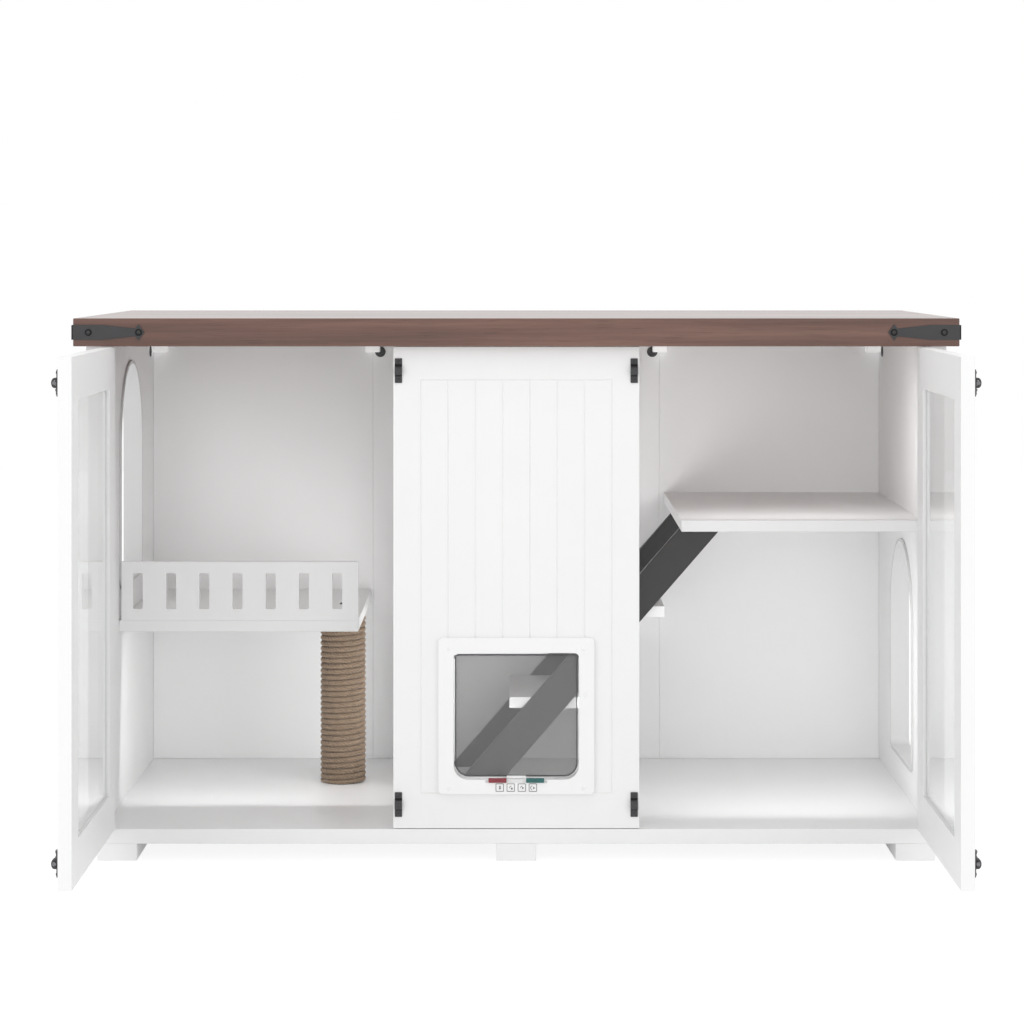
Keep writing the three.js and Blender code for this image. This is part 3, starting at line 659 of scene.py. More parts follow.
def screw_mesh(
    head: Vector, outward: Vector, radius: float, height: float, socket: float = 0.0
) -> bmesh.types.BMesh:
    """A domed screw head, with a cross socket where one is asked for.

    Args:
        head: the middle of the head's seat.
        outward: the way that the head faces.
        radius: the head's radius.
        height: how far it stands off.
        socket: the length of the cross's arms, or 0 for a plain dome.

    Returns:
        A closed mesh.
    """
    curve = arc((0, 0), 1, 0, 90, 8)
    profile = [(0, -SUNK), (radius, -SUNK), *((radius * u, height * v) for u, v in curve)]
    dome = turned(profile, Vector(), UP, 28)
    if socket:
        half = socket * 0.2
        arms = [box_mesh((-socket, -half, height * 0.97), (socket, half, height * 1.02)) for _ in range(2)]
        for arm, turn in zip(arms, (0, math.pi / 2)):
            arm.transform(Matrix.Rotation(turn + 0.4, 4, "Z"))
        dome = joined([dome, *arms])
    turn = outward.normalized().to_track_quat("Z", "Y").to_matrix().to_4x4()
    dome.transform(Matrix.Translation(head) @ turn)
    return dome


# ---------------------------------------------------------------- carcass


@dataclass
class Carcass:
    """The boards of the cabinet's body, the trims round its arches and its plastic blocks."""

    board_ease: float = 0.9 * MM
    trim_ease: float = 1.2 * MM
    block_ease: float = 1.2 * MM
    cam_radius: float = 8.2 * MM
    cam_height: float = 1.4 * MM
    cam_rim: float = 0.6 * MM
    cam_socket: float = 3.444 * MM
    cam_socket_foot: float = 2.788 * MM
    cam_socket_floor: float = 0.56 * MM
    cam_below_top: float = 24 * MM
    cam_from_back: float = 42 * MM
    strip_width: float = 14 * MM
    strip_thickness: float = 1.2 * MM
    tongue_width: float = 0.56 * MM

    def build(self) -> None:
        """Eases the boards' edges, and adds the discs over the cam locks and the strips over the joints."""
        across = ("left", "centre", "right")
        boards = ["base_board", *(f"runner_{place}" for place in across)]
        boards += [f"{board}_{side.label}" for board in ("divider", "side_panel") for side in Side]
        boards += [f"back_board_{place}" for place in across]
        for node in boards:
            eased_copy(node, WHITE_BOARD, self.board_ease)
        for side in Side:
            eased_copy(f"arch_trim_{side.label}", GREY_TRIM, self.trim_ease)
            for place in ("corner", "joint"):
                # The blocks' plastic has a faint glow of painted light.
                eased_copy(f"{place}_block_{side.label}", PAINTED_GLOW_PLASTIC, self.block_ease)
            self.add_cam_discs(side)
            self.add_joint_strip(side)

    def add_cam_discs(self, side: Side) -> None:
        """Covers two cam locks under the top, one in the side panel and one in the back.

        Args:
            side: the panel's side.
        """
        corner_low, corner_high = span(f"corner_block_{side.label}")
        joint_low, joint_high = span(f"joint_block_{side.label}")
        wall = corner_high.x if side is Side.RIGHT else corner_low.x
        inner = joint_low.x if side is Side.RIGHT else joint_high.x
        r, h, floor = self.cam_radius, self.cam_height, self.cam_socket_floor
        rim = [(0, -SUNK), (r, -SUNK), (r, h / 2), (r - self.cam_rim, h)]
        profile = [*rim, (self.cam_socket, h), (self.cam_socket_foot, floor), (0, floor)]
        level = corner_high.z - self.cam_below_top
        places = [
            (Vector((wall, corner_high.y - self.cam_from_back, level)), Vector((-side.value, 0, 0))),
            (Vector((inner, joint_high.y, joint_low.z)), FORWARD),
        ]
        discs = [turned(profile, seat, out) for seat, out in places]
        dress(f"cam_discs_{side.label}", joined(discs), DARK_CAP, "cabinet")

    def add_joint_strip(self, side: Side) -> None:
        """Covers the joint of two back boards from behind with a plastic strip.

        Args:
            side: the joint's side.
        """
        joint_low, joint_high = span(f"joint_block_{side.label}")
        low, high = span("back_board_centre")
        middle = (joint_low.x + joint_high.x) / 2
        height = (low.z, high.z)
        strip = upright(middle, self.strip_width, (high.y, high.y + self.strip_thickness), height)
        ease_edges(strip, FINE, 2)
        tongue = upright(middle, self.tongue_width, (low.y + self.board_ease, high.y + MM), height)
        dress(f"back_joint_strip_{side.label}", joined([strip, tongue]), WHITE_PLASTIC, "cabinet")


@dataclass
class TopSlab:
    """The walnut top with an iron strap round each front corner."""

    ease: float = 1.2 * MM
    strap_thickness: float = 2 * MM
    strap_height: float = 20 * MM
    straight: float = 42 * MM
    neck_at: float = 86 * MM
    neck_height: float = 10.6 * MM
    finial_at: float = 90.5 * MM
    finial_height: float = 22 * MM
    length: float = 99 * MM
    screw_places: tuple[float, float] = (23 * MM, 91 * MM)
    # The near-black ring under each strap screw is painted shade round its head.
    washer_radius: float = 4.75 * MM
    washer_edge: float = 0.5 * MM
    washer_height: float = 0.9 * MM
    screw: tuple[float, float, float] = (2.85 * MM, 3 * MM, 1.425 * MM)  # radius, height, socket

    def build(self) -> None:
        """Eases the slab and builds both straps."""
        eased_copy("top_slab", WALNUT, self.ease, 4)
        for side in Side:
            self.add_strap(side)

    def leg_outline(self) -> list[Point2]:
        """Half of a strap leg as seen square on, by distance along it and height over its middle."""
        return [
            (0, self.strap_height / 2),
            (self.straight, self.strap_height / 2),
            (self.neck_at, self.neck_height / 2),
            (self.finial_at, self.finial_height / 2),
            (self.length, 0),
        ]

    def add_strap(self, side: Side) -> None:
        """Wraps one front corner.

        Args:
            side: the corner's side.
        """
        low, high = span("top_slab")
        middle = (low.z + high.z) / 2
        corner_x = high.x + self.strap_thickness
        corner_y = low.y - self.strap_thickness
        upper = self.leg_outline()
        whole = upper + [(along, -height) for along, height in reversed(upper[:-1])]
        front = [(side.value * (corner_x - along), middle + height) for along, height in whole]
        flank = [(corner_y + along, middle + height) for along, height in whole]
        legs = joined(
            [
                extruded(Plane.FRONT, front, (corner_y, low.y)),
                extruded(Plane.SIDE, flank, (side.value * high.x, side.value * corner_x)),
            ]
        )
        ease_edges(legs, 0.45 * MM, 2)
        screws, shade_rings = [], []
        r, edge, top = self.washer_radius, self.washer_edge, self.washer_height
        shade_ring_profile = [(0, -SUNK), (r, -SUNK), (r, edge), (r - edge, top), (0, top)]
        for along in self.screw_places:
            on_front = Vector((side.value * (corner_x - along), corner_y, middle))
            on_flank = Vector((side.value * corner_x, corner_y + along, middle))
            for seat, outward in ((on_front, FORWARD), (on_flank, Vector((side.value, 0, 0)))):
                shade_rings.append(turned(shade_ring_profile, seat, outward))
                screws.append(screw_mesh(seat, outward, *self.screw))
        node = f"corner_strap_{side.label}"
        dress(f"{node}_forged", joined([legs, *screws]), BLACK_IRON, "cabinet", [node])
        # These near-black rings paint the shade round the screw heads.
        dress(f"{node}_washers", joined(shade_rings), PAINTED_SHADE_BLACK, "cabinet")


# ---------------------------------------------------------------- centre bay


@dataclass
class CatFlap:
    """The bead-board front panel with its framed flap, two lock sliders and four marks."""

    panel_ease: float = 0.6 * MM
    outer_ease: float = 1.6 * MM
    inner_ease: float = 1.2 * MM
    pane_ease: float = 0.35 * MM
    sharpest_kept: float = 62  # degrees: the grooves' edges and the frames' curves turn less
    seal_width: float = 1.8 * MM
    seal_from_side: float = 4 * MM
    seal_above: float = 1.2 * MM
    seal_depth: float = 3.5 * MM
    seal_foot_radius: float = 19 * MM
    seal_top_radius: float = 5 * MM
    tab_drop: float = 0.6 * MM
    screw_inset: float = 15 * MM
    screw_from_foot: float = 8 * MM
    screw: tuple[float, float, float] = (3.2 * MM, MM, 1.8 * MM)  # radius, height, socket
    mark_count: int = 4
    mark_pitch: float = 15 * MM
    mark_size: float = 11.2 * MM
    mark_line: float = 0.95 * MM
    mark_above: float = 9.2 * MM
    slider_head: float = 2.5 * MM
    slider_run: float = 1.4 * MM
    slider_tongue: float = 1.2 * MM
    slider_shoulder: float = 2.2 * MM
    rib_pitch: float = 3 * MM
    rib_width: float = 1.2 * MM
    rib_proud: float = 0.7 * MM

    def build(self) -> None:
        """Builds the panel, both frames, the flap and the sliders."""
        eased_copy("front_panel", WHITE_BOARD, self.panel_ease, 2, self.sharpest_kept)
        eased_copy("flap_outer_frame", WHITE_PLASTIC, self.outer_ease, 3, self.sharpest_kept)
        eased_copy("flap_inner_frame", WHITE_PLASTIC, self.inner_ease, 3, self.sharpest_kept)
        eased_copy("flap_pane", SMOKED, self.pane_ease, 2)
        self.add_tab()
        self.add_seal()
        self.add_frame_screws()
        self.add_marks()
        for side, finish in ((Side.LEFT, RED_PLASTIC), (Side.RIGHT, TEAL_PLASTIC)):
            self.add_slider(side, finish)

    def add_seal(self) -> None:
        """Borders the pane with a soft dark seal."""
        low, high = span("flap_pane")
        tab_low, tab_high = span("flap_magnet_tab")
        half = (high.x - low.x) / 2 - self.seal_from_side
        top = high.z + self.seal_above
        outer, inner = (
            rounded(
                (-half + inset, half - inset),
                (low.z + inset, top - inset),
                self.seal_foot_radius - inset,
                self.seal_top_radius - inset,
            )
            for inset in (0, self.seal_width)
        )
        middle = (tab_low.y + tab_high.y) / 2
        depth = (middle - self.seal_depth / 2, middle + self.seal_depth / 2)
        seal = extruded(Plane.FRONT, outer, depth, [inner])
        ease_edges(seal, 0.2 * MM, 1)
        dress("flap_seal", seal, DARK_SEAL, "flap")

    def add_tab(self) -> None:
        """Clips the magnet's tab over the pane's foot."""
        low, high = span("flap_magnet_tab")
        low.z -= self.tab_drop
        tab = box_mesh(low, high)
        ease_edges(tab, 0.4 * MM)
        dress("flap_magnet_tab_moulded", tab, WHITE_PLASTIC, "flap", ["flap_magnet_tab"])

    def add_frame_screws(self) -> None:
        """Puts a screw with a cross socket near each corner of the frame."""
        low, high = span("flap_outer_frame")
        screws = []
        for x in (low.x + self.screw_inset, high.x - self.screw_inset):
            for z in (low.z + self.screw_from_foot, high.z - self.screw_inset):
                screws.append(screw_mesh(Vector((x, low.y, z)), FORWARD, *self.screw))
        dress("flap_frame_screws", joined(screws), WHITE_PLASTIC, "cabinet")

    def add_marks(self) -> None:
        """Prints four plain setting signs under the flap: a framed square with a sign in it."""
        low, _ = span("flap_outer_frame")
        half = self.mark_size / 2
        level = low.z + self.mark_above
        depth = (low.y - 0.25 * MM, low.y + 0.1 * MM)
        prints = []
        for i in range(self.mark_count):
            x = (i - (self.mark_count - 1) / 2) * self.mark_pitch
            outer, inner = (
                rounded((x - reach, x + reach), (level - reach, level + reach), radius, radius, 4)
                for reach, radius in ((half, 1.2 * MM), (half - self.mark_line, 0.6 * MM))
            )
            prints.append(extruded(Plane.FRONT, outer, depth, [inner]))
            for outline in self.sign_outlines(i):
                points = [(x + u * half, level + v * half) for u, v in outline]
                prints.append(extruded(Plane.FRONT, points, depth))
        dress("setting_marks", joined(prints), MARK_GREY, "cabinet")

    def sign_outlines(self, index: int) -> list[list[Point2]]:
        """The sign in a mark, in halves of its size: a dot, and arrows that bend to it or past it.

        Args:
            index: the mark's place, from the left.

        Returns:
            Outlines to draw on it.
        """
        dot = arc((0.05, -0.2), 0.26, 0, 330, 11)
        roof = [(-0.3, 0.1), (0.35, 0.1), (0.05, 0.5)]
        bend = [*arc((0.15, -0.1), 0.55, 90, 180, 8), *arc((0.15, -0.1), 0.4, 180, 90, 8)]
        far = [*arc((-0.05, -0.05), 0.58, 100, 260, 10), *arc((-0.05, -0.05), 0.42, 260, 100, 10)]
        near = [(u + 0.2, v - 0.05) for u, v in dot]
        point = [(0.05, -0.42), (0.62, -0.1), (0.05, 0.22)]
        return [[dot, roof], [bend, near], [bend, point], [far, point]][index]

    def add_slider(self, side: Side, finish: Finish) -> None:
        """A slider's head with three grip ribs, on the tongue that runs in the frame.

        Args:
            side: which slider.
            finish: its finish.
        """
        node = f"lock_slider_{side.label}"
        low, high = span(node)
        middle = (low.x + high.x) / 2
        back = low.y + self.slider_head
        head = box_mesh(low, (high.x, back, high.z))
        ease_edges(head, 0.7 * MM, 3)
        run = low.z + self.slider_run
        height = (run - self.slider_tongue, run + self.slider_tongue)
        width = high.x - low.x - 2 * self.slider_shoulder
        tongue = upright(middle, width, (back - MM, high.y), height)
        ribs = []
        for i in (-1, 0, 1):
            depth = (low.y - self.rib_proud, low.y + MM)
            height = (low.z + self.rib_width, high.z - self.rib_width)
            rib = upright(middle + i * self.rib_pitch, self.rib_width, depth, height)
            ease_edges(rib, FINE, 2)
            ribs.append(rib)
        dress(f"{node}_ribbed", joined([head, tongue, *ribs]), finish, BODY_OF[node], [node])


# ---------------------------------------------------------------- left bay


@dataclass
class LedgeWithRailing:
    """The railed ledge in the left bay."""

    ease: float = 0.9 * MM
    slot_ease: float = 0.5 * MM
    screw: tuple[float, float, float] = (5.5 * MM, 2.2 * MM, 3 * MM)  # radius, height, socket

    def build(self) -> None:
        """Eases the board and the slotted railing, and adds the post's screw."""
        eased_copy("ledge_board", WHITE_BOARD, self.ease)
        eased_copy("ledge_railing", WHITE_BOARD, self.slot_ease, 2)
        core_low, core_high = span("post_core")
        middle = (core_low + core_high) / 2
        seat = Vector((middle.x, middle.y, span("ledge_board")[1].z))
        dress("post_screw", screw_mesh(seat, UP, *self.screw), BLACK_IRON, "cabinet")


@dataclass
class ScratchingPost:
    """A wooden core wound with one three-strand sisal rope."""

    core_ease: float = 0.5 * MM
    turns: int = 29
    steps_per_lay: int = 12
    lobe_points: int = 6
    lobe_dent: float = 0.42
    lay_length: float = 16 * MM
    fibres: int = 900
    seed: int = 11

    def build(self) -> None:
        """Builds the core, the rope and its loose fibres."""
        eased_copy("post_core", POST_WOOD, self.core_ease)
        low, high = span("post_rope")
        self.middle = (low + high) / 2
        self.bottom, self.height = low.z, high.z - low.z
        self.radius = self.height / (self.turns + 1) / 2
        self.winding = (high.x - low.x) / 2 - self.radius
        dress("post_rope_twisted", self.rope(), SISAL, "cabinet", ["post_rope"], smooth=70)
        dress("post_rope_fibres", self.loose_fibres(), SISAL, "cabinet")

    def thickness(self, turn: float) -> float:
        """The rope's radius: whole along the winding, and tapered to nothing at its two tails.

        Args:
            turn: how many turns up it is, below 0 in the lower tail.

        Returns:
            The radius.
        """
        return self.radius * max(0.02, min(1.0, turn + 1, self.turns + 1 - turn))

    def on_winding(self, turn: float, out: float = 0.0) -> Vector:
        """A point of the winding, whose tails lie flat on the floor and under the ledge.

        Args:
            turn: how many turns up it is.
            out: how far outside the rope's middle it is.

        Returns:
            The point.
        """
        angle = math.tau * turn
        thick = self.thickness(turn)
        reach = self.winding + self.radius - thick + out
        z = self.bottom + self.radius + 2 * self.radius * turn
        z = min(max(z, self.bottom + thick), self.bottom + self.height - thick)
        return Vector((self.middle.x + reach * math.cos(angle), self.middle.y + reach * math.sin(angle), z))

    def lobes(self) -> list[tuple[float, float]]:
        """The rope's section, as angle and radius, with a dent between strands."""
        section = []
        for i in range(3 * self.lobe_points):
            off = (i % self.lobe_points) / self.lobe_points - 0.5
            dent = self.lobe_dent * abs(2 * off) ** 2.4
            section.append((math.tau * i / (3 * self.lobe_points), 1.03 - dent))
        return section

    def rope(self) -> bmesh.types.BMesh:
        """The whole winding as one twisted rope with closed ends."""
        first, last = -0.97, self.turns + 0.97
        length = math.tau * self.winding * (last - first)
        count = round(length / self.lay_length * self.steps_per_lay)
        section = self.lobes()
        mesh = bmesh.new()
        rings = []
        for i in range(count + 1):
            turn = first + (last - first) * i / count
            centre = self.on_winding(turn)
            outward = (self.on_winding(turn, MM) - centre).normalized()
            along = (self.on_winding(turn + 0.001) - centre).normalized()
            upward = along.cross(outward).normalized()
            twist = math.tau * i / self.steps_per_lay
            thick = self.thickness(turn)
            ring = []
            for angle, reach in section:
                way = outward * math.cos(angle + twist) + upward * math.sin(angle + twist)
                ring.append(mesh.verts.new(centre + way * thick * reach))
            rings.append(ring)
        for ring, following in zip(rings, rings[1:]):
            for k in range(len(ring)):
                j = (k + 1) % len(ring)
                mesh.faces.new([ring[k], ring[j], following[j], following[k]])
        mesh.faces.new(rings[0])
        mesh.faces.new(rings[-1])
        bmesh.ops.recalc_face_normals(mesh, faces=mesh.faces)
        return mesh

    def loose_fibres(self) -> bmesh.types.BMesh:
        """Short hairs that stand off the rope."""
        rng = random.Random(self.seed)
        mesh = bmesh.new()
        for _ in range(self.fibres):
            turn = rng.uniform(0.2, self.turns - 0.2)
            root = self.on_winding(turn, self.radius * 0.9)
            outward = (self.on_winding(turn, 2 * self.radius) - root).normalized()
            along = Vector((-outward.y, outward.x, 0)) * rng.choice((-1, 1))
            lift = Vector((0, 0, rng.uniform(-1, 1)))
            length = rng.uniform(2, 5.5) * MM
            bend = root + (outward * 0.35 + along + lift * 0.5).normalized() * length * 0.5
            tip = bend + (outward * rng.uniform(0.1, 0.6) + along + lift).normalized() * length * 0.5
            width = Vector((0, 0, 0.09 * MM))
            near = [mesh.verts.new(p) for p in (root - width, root + width, bend + width, bend - width)]
            mesh.faces.new(near)
            mesh.faces.new([near[3], near[2], mesh.verts.new(tip)])
        return mesh


# ---------------------------------------------------------------- right bay


@dataclass
class ShelfAndStair:
    """The shelf in the right bay and the stair that leads up to it."""

    ease: float = 0.9 * MM

    def build(self) -> None:
        """Eases the shelf, the treads and the dark stringers."""
        for node in ("right_shelf", "tread_lower", "tread_upper"):
            eased_copy(node, WHITE_BOARD, self.ease)
        for node in ("stringer_front", "stringer_back"):
            eased_copy(node, DARK_BOARD, self.ease)


# ---------------------------------------------------------------- doors


@dataclass
class Hinge:
    """A butt hinge: two leaves, screws in the fixed one, three knuckles and a pin."""

    side: Side
    end: str
    knuckle_radius: float = 3.2 * MM
    knuckle_gap: float = 0.15 * MM
    pin_radius: float = 1.2 * MM
    pin_head_radius: float = 1.8 * MM
    pin_head: float = 0.8 * MM
    leaf_thickness: float = 1.2 * MM
    leaf_radius: float = 1.5 * MM
    leaf_ease: float = 0.2 * MM
    fixed_leaf_beside: float = 2.8 * MM
    fixed_leaf_behind: float = 3.5 * MM
    door_leaf_before: float = 3.7 * MM
    door_leaf_reach: tuple[float, float] = (3.5 * MM, 17 * MM)
    neck_gap: float = 0.3 * MM
    screw: tuple[float, float, float] = (2.2 * MM, 0.5 * MM, 1.3 * MM)  # radius, height, socket
    screw_from_end: float = 8 * MM
    screw_reach: tuple[float, float, float] = (18 * MM, 11 * MM, 18 * MM)

    def build(self) -> None:
        """Builds both leaves, each on its own body."""
        name = f"{self.side.label}_{self.end}"
        low, high = span(f"hinge_leaf_fixed_{name}")
        outer = high.x if self.side is Side.RIGHT else low.x
        pin = Vector((outer - self.side.value * self.knuckle_radius, low.y + self.knuckle_radius, 0))
        self.add_fixed_leaf(f"hinge_leaf_fixed_{name}", pin)
        self.add_door_leaf(f"hinge_leaf_door_{name}", pin)

    def leaf(self, plane: Plane, width: Point2, height: Point2, depth: Point2) -> bmesh.types.BMesh:
        """A leaf's plate, by how it lies and its three spans."""
        return plate(plane, width, height, depth, self.leaf_radius, self.leaf_ease)

    def barrel(self, pin: Vector, bottom: float, top: float) -> bmesh.types.BMesh:
        """One knuckle round the pin, from its bottom to its top."""
        r, length, ease = self.knuckle_radius, top - bottom, FINE
        profile = [(0, 0), (r - ease, 0), (r, ease), (r, length - ease), (r - ease, length), (0, length)]
        return turned(profile, Vector((pin.x, pin.y, bottom)), UP, 28)

    def add_fixed_leaf(self, node: str, pin: Vector) -> None:
        """The leaf in the side panel's inner face, with the two outer knuckles.

        Args:
            node: the CAD node that it replaces.
            pin: where the pin stands.
        """
        low, high = span(node)
        third = (high.z - low.z) / 3
        face = self.side.value * (abs(pin.x) - self.fixed_leaf_beside)
        back = face + self.side.value * self.leaf_thickness
        front = pin.y + self.fixed_leaf_behind
        pieces = [self.leaf(Plane.SIDE, (front, high.y), (low.z, high.z), (face, back))]
        for bottom, top in (
            (low.z, low.z + third - self.knuckle_gap),
            (high.z - third + self.knuckle_gap, high.z),
        ):
            height = (bottom + self.neck_gap, top - self.neck_gap)
            pieces.append(upright((face + back) / 2, self.leaf_thickness, (pin.y, front + MM), height))
            pieces.append(self.barrel(pin, bottom, top))
        levels = (low.z + self.screw_from_end, (low.z + high.z) / 2, high.z - self.screw_from_end)
        for level, reach in zip(levels, self.screw_reach):
            seat, out = Vector((face, front + reach, level)), Vector((-self.side.value, 0, 0))
            pieces.append(screw_mesh(seat, out, *self.screw))
        dress(f"{node}_steel", joined(pieces), BLACK_IRON, "cabinet", [node])

    def add_door_leaf(self, node: str, pin: Vector) -> None:
        """The leaf on the open door's hinge edge, with the middle knuckle and the pin.

        Args:
            node: the CAD node that it replaces.
            pin: where the pin stands.
        """
        low, high = span(node)
        third = (high.z - low.z) / 3
        face = pin.y - self.door_leaf_before
        front = face - self.leaf_thickness
        near, far = (self.side.value * (abs(pin.x) - reach) for reach in self.door_leaf_reach)
        width = (min(near, far), max(near, far))
        pieces = [self.leaf(Plane.FRONT, width, (low.z, high.z), (front, face))]
        bottom, top = low.z + third + self.knuckle_gap, high.z - third - self.knuckle_gap
        height = (bottom + self.neck_gap, top - self.neck_gap)
        inner = near - self.side.value * MM
        pieces.append(upright((pin.x + inner) / 2, abs(pin.x - inner), (front, face), height))
        pieces.append(upright(pin.x, 2 * self.pin_radius, (front, pin.y), height))
        pieces.append(self.barrel(pin, bottom, top))
        cap = [(0, 0), (self.pin_head_radius, 0), (self.pin_radius, 0.5 * MM), (0, self.pin_head)]
        for level, way in ((low.z, -UP), (high.z, UP)):
            pieces.append(turned(cap, Vector((pin.x, pin.y, level)), way, 20))
        dress(f"{node}_steel", joined(pieces), BLACK_IRON, BODY_OF[node], [node])


@dataclass
class BarrelBolt:
    """A barrel bolt on a door, and the keeper that takes it on the front panel."""

    side: Side
    end: str
    rod_radius: float = 2.7 * MM
    rod_clearance: float = 0.5 * MM
    rod_off_plate: float = 2.8 * MM
    loop_width: float = 12.5 * MM
    plate_thickness: float = 1.8 * MM
    plate_radius: float = 2.5 * MM
    loop_length: float = 10 * MM
    loop_inset: float = 2 * MM
    screw: tuple[float, float, float] = (2.4 * MM, 1.1 * MM, 1.32 * MM)  # radius, height, socket
    screw_inset: float = 4 * MM
    keeper_screw_inset: float = 4.5 * MM
    rod_ease: float = 0.6 * MM
    knob_radius: float = 2.2 * MM
    knob_ball: float = 3.2 * MM
    knob_from_tip: float = 29 * MM
    # Heights of the near-black strips above and below the keeper's loop: painted shadow of the loop's ends.
    crease_heights: tuple[float, float] = (2.6 * MM, 1.5 * MM)

    def build(self) -> None:
        """Builds the housing, the rod and the keeper."""
        self.name = f"{self.side.label}_{self.end}"
        self.add_housing()
        self.add_rod()
        self.add_keeper()

    def loop_section(self, level: float, proud: Callable[[float], float], reach: float) -> list[Point2]:
        """A strap bent over the rod, as an open arch on its plate.

        Args:
            level: the rod's height.
            proud: turns a distance off the plate's back into a coordinate.
            reach: how far the loop stands off the plate's back.

        Returns:
            The section's outline, with the height as its second coordinate.
        """
        axis = self.plate_thickness + self.rod_off_plate
        half = self.loop_width / 2
        hole = self.rod_radius + self.rod_clearance
        over = [(half * u, axis + (reach - axis) * v) for u, v in arc((0, 0), 1, 180, 0, 20)]
        under = [(hole * u, axis + hole * v) for u, v in arc((0, 0), 1, 0, 180, 16)]
        points = [(-half, 0), *over, (half, 0), (hole, 0), *under, (-hole, 0)]
        return [(proud(off), level + across) for across, off in points]

    def screws(self, seats: Iterable[Vector], out: Vector) -> list[bmesh.types.BMesh]:
        """Screws at several seats of a plate, which all face one way."""
        return [screw_mesh(seat, out, *self.screw) for seat in seats]

    def add_housing(self) -> None:
        """The plate on the door's outer face, with two loops and four screws."""
        node = f"bolt_housing_{self.name}"
        low, high = span(node)
        sign = self.side.value
        face = min(abs(low.x), abs(high.x))
        reach = max(abs(low.x), abs(high.x)) - face
        level = (low.z + high.z) / 2
        depth = (sign * face, sign * (face + self.plate_thickness))
        pieces = [plate(Plane.SIDE, (low.y, high.y), (low.z, high.z), depth, self.plate_radius)]
        section = self.loop_section(level, lambda off: sign * (face + off), reach)
        for start in (low.y + self.loop_inset, high.y - self.loop_inset - self.loop_length):
            loop = extruded(Plane.FRONT, section, (start, start + self.loop_length))
            ease_edges(loop, 0.25 * MM, 2)
            pieces.append(loop)
        inset, surface = self.screw_inset, sign * (face + self.plate_thickness)
        corners = rectangle((low.y + inset, high.y - inset), (low.z + inset, high.z - inset))
        pieces += self.screws((Vector((surface, y, z)) for y, z in corners), Vector((sign, 0, 0)))
        dress(f"{node}_steel", joined(pieces), BLACK_IRON, BODY_OF[node], [node])

    def add_rod(self) -> None:
        """The sliding rod with its knob."""
        node = f"bolt_rod_{self.name}"
        low, high = span(node)
        plate_low, plate_high = span(f"bolt_housing_{self.name}")
        level = (plate_low.z + plate_high.z) / 2
        down = self.end == "top"
        door_face = min(abs(plate_low.x), abs(plate_high.x))
        x = self.side.value * (door_face + self.plate_thickness + self.rod_off_plate)
        length = high.y - low.y
        r, e, third = self.rod_radius, self.rod_ease, self.rod_ease / 3
        tip = [(0, e), (0.7 * MM, 0), (r - e, 0), (r - third, third), (r, e)]
        tail = [(r, length - e), (r - third, length - third), (r - e, length), (0, length)]
        rod = turned([*tip, *tail], Vector((x, low.y, level)), Vector((0, 1, 0)))
        ball = self.knob_ball
        drop = (level - low.z if down else high.z - level) - ball
        around = [math.pi * i / 14 for i in range(3, 14)]
        stem = [(0, 0), (self.knob_radius, 0), (self.knob_radius, drop - 0.9 * ball)]
        stem += [(ball * math.sin(a), drop - ball * math.cos(a)) for a in around]
        stem.append((0, drop + ball))
        knob = turned(stem, Vector((x, low.y + self.knob_from_tip, level)), -UP if down else UP, 24)
        dress(f"{node}_steel", joined([rod, knob]), ROD_STEEL, BODY_OF[node], [node])

    def add_keeper(self) -> None:
        """The keeper on the front panel."""
        node = f"keeper_{self.name}"
        low, high = span(node)
        middle, level = (low.x + high.x) / 2, (low.z + high.z) / 2
        back, width = high.y, (low.x, high.x)
        surface = back - self.plate_thickness
        base = plate(Plane.FRONT, width, (low.z, high.z), (surface, back), MM)
        section = self.loop_section(level, lambda off: back - off, back - low.y)
        loop = extruded(Plane.SIDE, section, width)
        ease_edges(loop, 0.25 * MM, 2)
        inset = self.keeper_screw_inset
        screws = self.screws((Vector((middle, surface, z)) for z in (low.z + inset, high.z - inset)), FORWARD)
        dress(f"{node}_steel", joined([base, loop, *screws]), BLACK_IRON, BODY_OF[node], [node])
        # Near-black strips on the plate beside the loop's two ends are painted shadow.
        half = self.loop_width / 2
        above, below = self.crease_heights
        depth = (surface - 0.25 * MM, surface + 0.1 * MM)
        painted_shadow_strips = [
            upright(middle, high.x - low.x, depth, height)
            for height in ((level + half, level + half + above), (level - half - below, level - half))
        ]
        dress(f"{node}_creases", joined(painted_shadow_strips), PAINTED_SHADE_BLACK, BODY_OF[node])


@dataclass
class Door:
    """A glazed door that stands open, with its hinges and bolts."""

    side: Side
    ease: float = 0.9 * MM
    member: float = 55 * MM

    def build(self) -> None:
        """Builds the frame, the pane, two hinges and two bolts."""
        frame_node, pane_node = f"door_frame_{self.side.label}", f"door_pane_{self.side.label}"
        low, high = span(frame_node)
        width = (low.y + self.member, high.y - self.member)
        height = (low.z + self.member, high.z - self.member)
        outline = rectangle((low.y, high.y), (low.z, high.z))
        door = extruded(Plane.SIDE, outline, (low.x, high.x), [rectangle(width, height)])
        ease_edges(door, self.ease)
        dress(f"{frame_node}_eased", door, WHITE_BOARD, BODY_OF[frame_node], [frame_node])
        pane_low, pane_high = span(pane_node)
        sheet = box_mesh((pane_low.x, width[0], height[0]), (pane_high.x, width[1], height[1]))
        dress(f"{pane_node}_polished", sheet, CLEAR, BODY_OF[pane_node], [pane_node])
        for end in ("bottom", "top"):
            Hinge(self.side, end).build()
            BarrelBolt(self.side, end).build()


# ---------------------------------------------------------------- studio


